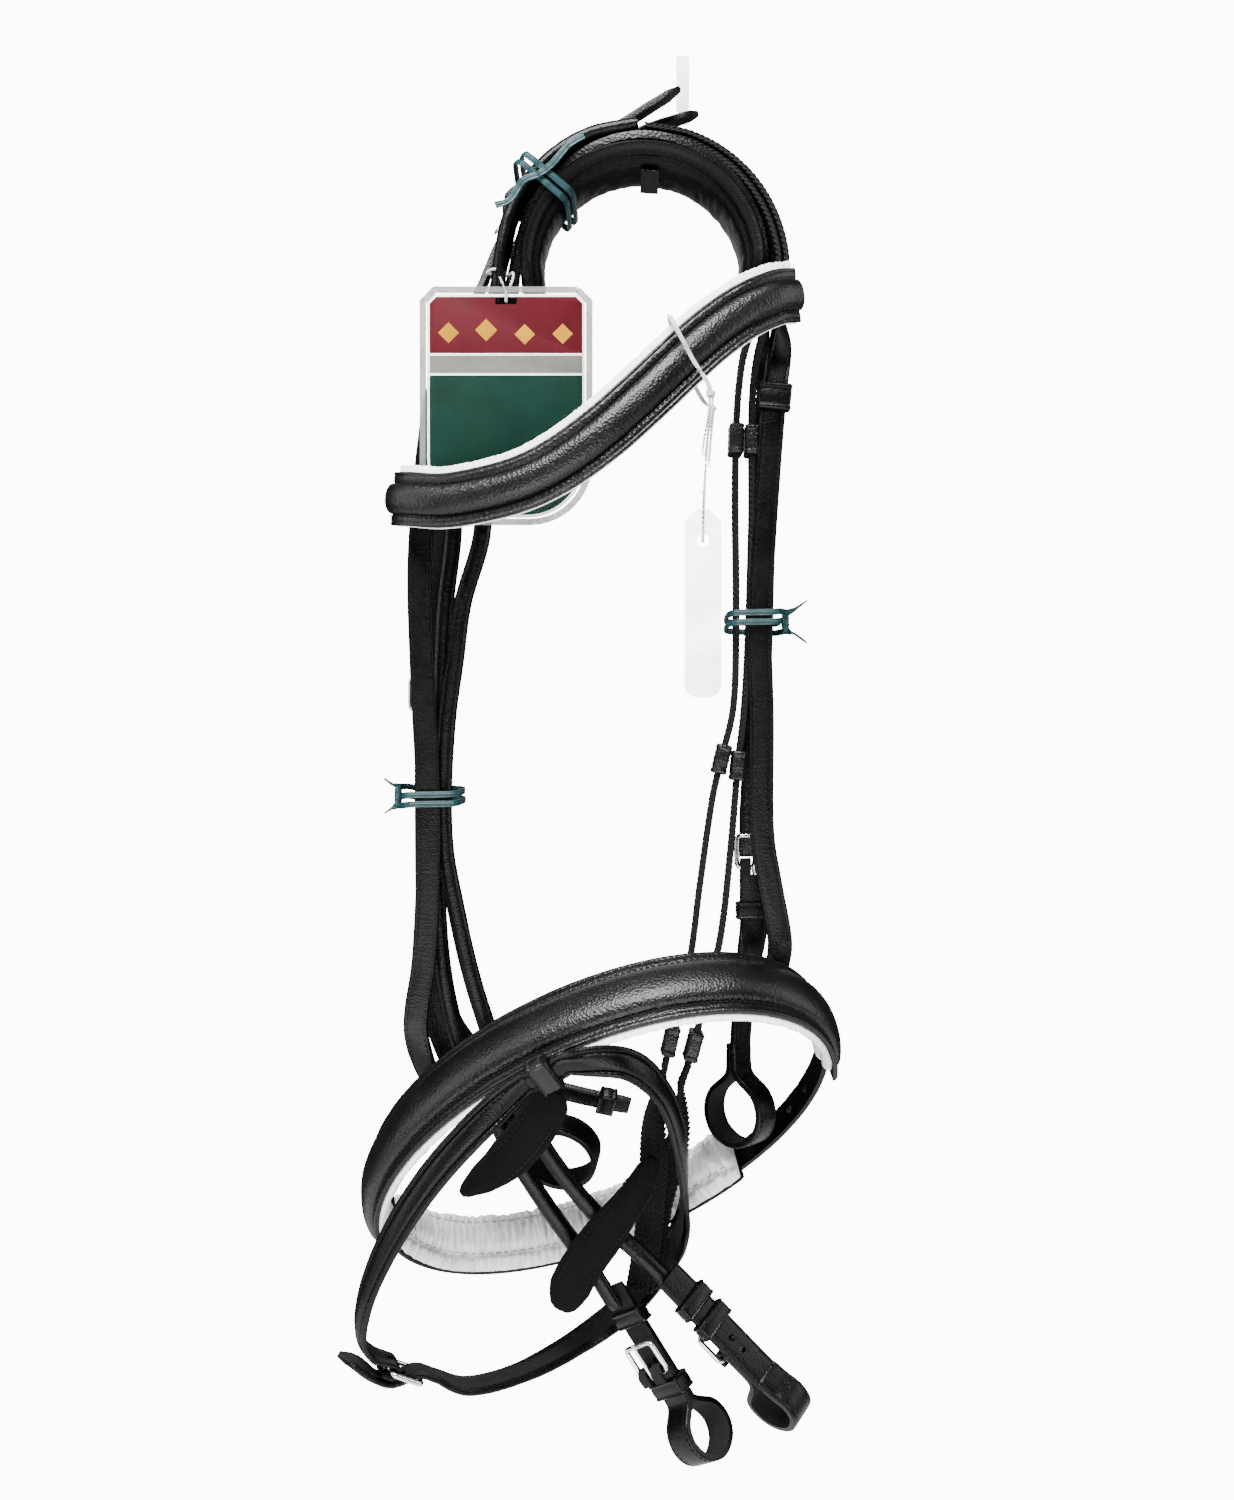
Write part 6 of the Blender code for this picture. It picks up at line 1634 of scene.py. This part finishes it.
def make_ties():
    """The three plastic ties that hold the straps together."""
    angle = math.radians(139)
    radial = Vector((math.cos(angle), 0, math.sin(angle)))
    centre = ARCH_CENTRE + radial * (ARCH_RADIUS + TOP_TIE_HALF - TIE_THICK / 2 - LOOSE)
    tie("tie_top", centre, BACK * -1, radial * -1, PAD_WIDTH / 2 + TIE_THICK + GAP,
        TOP_TIE_HALF, TOP_TIE_TAIL)
    first_shares = ((-0.545, -0.318, 0.016), (-0.62, -0.322, 0.022), (-0.68, -0.325, 0.04), (-0.752, -0.325, 0.046))
    second_shares = ((-0.545, -0.318, 0.016), (-0.48, -0.322, 0.006), (-0.4, -0.322, -0.012),
                     (-0.325, -0.321, -0.022))
    section = tie_section(TIE_WIDTH * 0.8, TIE_THICK)
    for index, rows in enumerate((first_shares, second_shares)):
        route = Line([spot(*row) for row in rows], [FRONT + UP * 0.4, FRONT, FRONT + UP * 0.5, FRONT], 70)
        data = skin(route.frames(), section, shape=crumple(0.0004, 300, 60, 73.0 + index))
        keep("tie_top_end_" + str(index + 1), data, TIE_PLASTIC)
    tie("tie_left", spot(-1.085, 0.05, 0.617), RIGHT, BACK, *LEFT_TIE_SIZES)
    tie("tie_right", spot(0.515, 0.04, 0.443), LEFT, BACK, *RIGHT_TIE_SIZES)


def two_ply(radius, sides):
    """The section of two strands that lie against each other."""
    turns = [math.tau * side / sides for side in range(sides)]
    lobes = [radius * (0.74 + 0.26 * abs(math.cos(turn)) ** 0.8) for turn in turns]
    return [(lobe * math.cos(turn), lobe * math.sin(turn)) for lobe, turn in zip(lobes, turns)]


def twisted(length, total, across, out, run):
    """A shape that turns a section steadily along its line, as strands lie in a string."""
    angle = math.tau * length / STRING_LAY
    return across * math.cos(angle) - out * math.sin(angle), across * math.sin(angle) + out * math.cos(angle)


def string(name, places, node, frayed):
    """A twisted cotton string through places, whose bare ends open into single fibres."""
    route = Line(places, [side_look(places, index) for index in range(len(places))], 60)
    frames = fine_frames(route, 0.00045)
    data = skin(frames, two_ply(STRING_RADIUS * 1.15, 18), shape=twisted)
    made = keep(name, data, COTTON, node)
    if frayed:
        fibres(name, frames)


def string_knot(name, centre, along, radius):
    """Turns of string pulled tight round the strands that they hold."""
    facing = along.orthogonal().normalized()
    width = along.cross(facing)
    places = []
    looks = []
    turns = 40
    for step in range(turns + 1):
        angle = math.tau * 2.6 * step / turns
        radial = facing * math.cos(angle) + width * math.sin(angle)
        places.append(centre + radial * radius + along * (STRING_RADIUS * 4.4 * (step / turns - 0.5)))
        looks.append(radial)
    data = skin(Line(places, looks, 90).frames(), two_ply(STRING_RADIUS * 1.1, 12), shape=twisted)
    keep(name, data, COTTON)


def fibres(name, frames):
    """Loose fibres at the two cut ends of a string."""
    count = 9
    for end, (point, along, facing, width) in enumerate((frames[0], frames[-1])):
        ahead = along * (-1 if end == 0 else 1)
        rows = []
        for index in range(count):
            angle = math.tau * index / count
            spread = (facing * math.cos(angle) + width * math.sin(angle)) * (0.5 + 0.5 * (index % 3) / 2)
            places = [point + ahead * (0.003 * share) + spread * (STRING_RADIUS * (0.5 + 2.1 * share * share))
                      for share in (0, 0.25, 0.5, 0.75, 1.0)]
            rows.append((places, [spread.normalized()] * len(places), 0.0))
        laid(name + "_fibres_" + str(end + 1), rows, COTTON, pitch=0.0005, length=0.0007, width=0.00014,
             height=0.00014)


def card_outline(width, height, corner, top_corner, steps=10):
    """A card's outline with round bottom corners and cut top corners."""
    half = width / 2
    outline = [(half - top_corner, height / 2), (top_corner - half, height / 2),
               (-half, height / 2 - top_corner)]
    for side in (-1, 1):
        for step in range(steps + 1):
            angle = math.pi / 2 * (step / steps)
            if side > 0:
                angle = math.pi / 2 - angle
            outline.append((side * (half - corner + corner * math.cos(angle)),
                            corner - height / 2 - corner * math.sin(angle)))
    outline.append((half, height / 2 - top_corner))
    return outline


def shrunk(outline, width, height, rim):
    """An outline drawn in by a rim on every side."""
    return [(across * (1 - 2 * rim / width), up * (1 - 2 * rim / height)) for across, up in outline]


def plate(name, centre, outline, thick, finish, body, node=None, cutters=()):
    """An upright flat piece with slightly rounded rims, from its outline."""
    rim = min(thick * 0.3, 0.0003)
    data = bmesh.new()
    data.loops.layers.uv.new("weave")
    wide = max(point[0] for point in outline)
    rings = []
    for depth, inset in ((-thick / 2, rim), (rim - thick / 2, 0), (thick / 2 - rim, 0), (thick / 2, rim)):
        share = 1 - inset / wide
        rings.append([data.verts.new(centre + RIGHT * (across * share) + UP * (up * share) + FRONT * depth)
                      for across, up in outline])
    for one, two in zip(rings, rings[1:]):
        for index in range(len(outline)):
            after = (index + 1) % len(outline)
            data.faces.new((one[index], one[after], two[after], two[index]))
    capped(data, rings)
    if cutters:
        data = take_out(data, cutters)
    keep(name, data, finish, node, body)


def band_of(outline, low, high):
    """The part of an outline between two heights, for a printed field."""
    kept = [(across, min(max(up, low), high)) for across, up in outline]
    cleaned = kept[:1]
    for point in kept[1:]:
        if math.dist(point, cleaned[-1]) > MERGED:
            cleaned.append(point)
    if math.dist(cleaned[0], cleaned[-1]) < MERGED:
        cleaned.pop()
    return cleaned


def tag_slot(eye):
    """The slot at the head of the tag, through sleeve and card."""
    return cut_box(eye, RIGHT, FRONT, UP, ((-0.0052, 0.0052), (-OVERRUN, OVERRUN), 0.0016))


def make_swing_tag():
    """A printed card in a clear sleeve with welded edges, on a cotton loop round the rein."""
    body = own_body("swing_tag")
    eye = spot(*SWING_EYE)
    eye_up = CARD_HEIGHT / 2 - CARD_EYE_DOWN
    centre = eye - UP * eye_up
    outline = card_outline(CARD_WIDTH, CARD_HEIGHT, CARD_CORNER, CARD_EYE)
    plate("tag_sleeve", centre, outline, CARD_THICK, SLEEVE, body, "swing_tag", [tag_slot(eye)])
    rim = 0.0036
    card = shrunk(card_outline(CARD_WIDTH, CARD_HEIGHT, CARD_CORNER, rim), CARD_WIDTH, CARD_HEIGHT, rim)
    plate("tag_card", centre, card, CARD_THICK * 0.44, CARD_STOCK, body, None, [tag_slot(eye)])
    top = CARD_HEIGHT / 2 - rim - 0.0012
    fields = (("tag_field_top", top - 0.0275, top, PRINT_MAROON),
              ("tag_field_middle", top - 0.0372, top - 0.0287, PRINT_SILVER),
              ("tag_field_low", -CARD_HEIGHT / 2 + rim * 1.2, top - 0.0384, PRINT_GREEN))
    inner = shrunk(card, CARD_WIDTH, CARD_HEIGHT, 0.0012)
    for name, low, high, finish in fields:
        cutters = [tag_slot(eye)] if finish is PRINT_MAROON else []
        plate(name, centre, band_of(inner, low, high), CARD_THICK * 0.52, finish, body, None, cutters)
    for index, share in enumerate((-0.33, -0.11, 0.11, 0.33)):
        middle = top - 0.018
        square = [(CARD_WIDTH * share + 0.005 * one, middle + 0.005 * two) for one, two in
                  ((1, 0), (0, 1), (-1, 0), (0, -1))]
        plate("tag_diamond_" + str(index + 1), centre, square, CARD_THICK * 0.6, PRINT_GOLD, body)
    seam = []
    corners = shrunk(outline, CARD_WIDTH, CARD_HEIGHT, 0.0015)
    for one, two in zip(corners, corners[1:] + corners[:1]):
        steps = max(1, round(math.dist(one, two) / 0.003))
        for step in range(steps):
            share = step / steps
            seam.append(centre + RIGHT * (one[0] + (two[0] - one[0]) * share)
                        + UP * (one[1] + (two[1] - one[1]) * share))
    seam.append(seam[0])
    data = skin(Line(seam, [FRONT] * len(seam), 220).frames(),
                [(0.0016, 0.0), (0.0013, CARD_THICK * 0.56), (-0.0013, CARD_THICK * 0.56), (-0.0016, 0.0),
                 (-0.0013, -CARD_THICK * 0.56), (0.0013, -CARD_THICK * 0.56)])
    keep("tag_welded_edge", data, WELD, body=body)


def make_tags():
    """The swing tag, the price tag, their strings and the size label."""
    make_swing_tag()
    eye = spot(*SWING_EYE)
    rein = spot(-0.735, -0.19, 0.104)
    round_shares = ((0.33, 1.25, 0), (0.74, 0.95, 0), (1.07, 0, 0), (0.33, -0.87, 0), (-0.5, -0.87, 0),
                    (-1, 0, 0), (-1.03, 0.58, -0.67))
    eye_shares = ((0, -0.27, 0.5), (0, 0, 0), (0, 0.33, 0.67))
    places = wrapped(rein, round_shares) + wrapped(eye, eye_shares) + wrapped(rein, ((0, 1.42, -0.67),))
    string("swing_string_cotton", places, "swing_string", False)
    eye = spot(0.235, -0.62, 0.376)
    eye_up = PRICE_HEIGHT / 2 - PRICE_EYE_DOWN
    hole = [punch((eye, UP, UP.cross(RIGHT) * -1, RIGHT), PRICE_THICK * 2, CARD_EYE)]
    plate("price_tag_film", eye - UP * eye_up, card_outline(PRICE_WIDTH, PRICE_HEIGHT, PRICE_CORNER, PRICE_CORNER),
          PRICE_THICK, MILKY, own_body("price_tag"), "price_tag", hole)
    string_shares = ((0.235, -0.62, 0.29), (0.265, -0.61, 0.238), (0.18, -0.6, 0.205),
                     (0.085, -0.58, 0.168), (0.08, -0.5, 0.1618), (0.09, -0.41, 0.166),
                     (0.14, -0.366, 0.195), (0.24, -0.368, 0.235), (0.285, -0.47, 0.245),
                     (0.27, -0.585, 0.256), (0.25, -0.605, 0.3))
    eye_shares = ((0, -0.3, 0.67), (0, 0, 0), (0, 0.3, 0.67), (0, 0.5, 3.33))
    places = [spot(*row) for row in string_shares]
    string("price_string_cotton", places + wrapped(eye, eye_shares), "price_string", True)
    beside = RIGHT * STRING_RADIUS * 2.3 + DOWN * STRING_RADIUS * 1.2
    string("price_string_second", [place_at + beside for place_at in places], None, True)
    string_knot("price_string_knot", places[1] + beside * 0.5, DOWN, STRING_RADIUS * 2.6)
    label = spot(0.17, THROATLASH_ASIDE / DEPTH, -0.11)
    plate("size_label_card", label, card_outline(LABEL_WIDTH, LABEL_HEIGHT, LABEL_THICK, LABEL_THICK, 1),
          LABEL_THICK, LABEL_STOCK, "bridle", "size_label")


# The studio
def make_stage():
    """A plain pale floor well below the hanging bridle."""
    floor = CAD_BOX[0][2] - FLOOR_BELOW
    corners = [(across, depth, floor) for across, depth in
               ((-FLOOR_HALF, -FLOOR_HALF), (FLOOR_HALF, -FLOOR_HALF), (FLOOR_HALF, 1.0), (-FLOOR_HALF, 1.0))]
    mesh = bpy.data.meshes.new("studio_floor")
    mesh.from_pydata(corners, [], [(0, 1, 2, 3)])
    mesh.materials.append(FLOOR_PAPER)
    put_in("studio_floor", mesh)


def lamp(name, place_at, aim, size, power, height=None):
    """A soft lamp that looks at a point."""
    light = bpy.data.lights.new(name, "AREA")
    light.shape = "RECTANGLE"
    light.size = size
    light.size_y = height or size
    light.energy = power
    made = put_in(name, light)
    made.location = place_at
    made.rotation_euler = (Vector(aim) - Vector(place_at)).to_track_quat("-Z", "Y").to_euler()


def make_studio():
    """Soft lamps, a pale surround and the camera at the photograph's place."""
    lamp("top_lamp", (-0.3, -0.9, 1.05), (0, 0, -0.3), 1.0, 150)
    lamp("left_lamp", (-1.45, -0.35, 0.05), (0, 0, -0.3), 0.8, 20, height=1.6)
    lamp("right_lamp", (1.4, -0.35, 0.1), (0, 0, -0.3), 0.8, 20, height=1.6)
    lamp("low_lamp", (-0.1, -1.0, -1.02), (0, 0, -0.45), 1.2, 34)
    lamp("back_lamp", (0.0, 1.3, 0.5), (0, 0, -0.3), 1.2, 6)
    world = bpy.data.worlds.new("pale_room")
    bpy.context.scene.world = world
    world.use_nodes = True
    tree = world.node_tree
    room = tree.nodes["Background"]
    fed(tree, room, {"Color": (0.9, 0.95, 1.0, 1), "Strength": 0.05})
    white = added(tree, "ShaderNodeBackground", {"Color": (1, 1, 1, 1), "Strength": 12.0})
    seen = added(tree, "ShaderNodeLightPath", {}, "Is Camera Ray")
    mixed = added(tree, "ShaderNodeMixShader", {"Fac": seen, 1: room.outputs["Background"], 2: white})
    fed(tree, tree.nodes["World Output"], {"Surface": mixed})
    camera = bpy.data.cameras.new("front_camera")
    camera.lens = 43.2
    camera.sensor_width = 36
    camera.clip_start = 0.01
    made = put_in("front_camera", camera)
    made.location = (-0.0165, -0.9, -0.2855)
    made.rotation_euler = (math.pi / 2, 0, 0)
    bpy.context.scene.camera = made


make_studio()
left_end, right_end = make_cheekpieces()
make_crown(left_end, right_end)
make_headstrap()
make_throatlash()
make_reins()
make_rein_ends()
make_noseband()
make_flash()
make_browband()
make_ties()
make_tags()
laid("keeper_stitching", SEAMS["keepers"], BLACK_THREAD)
make_stage()
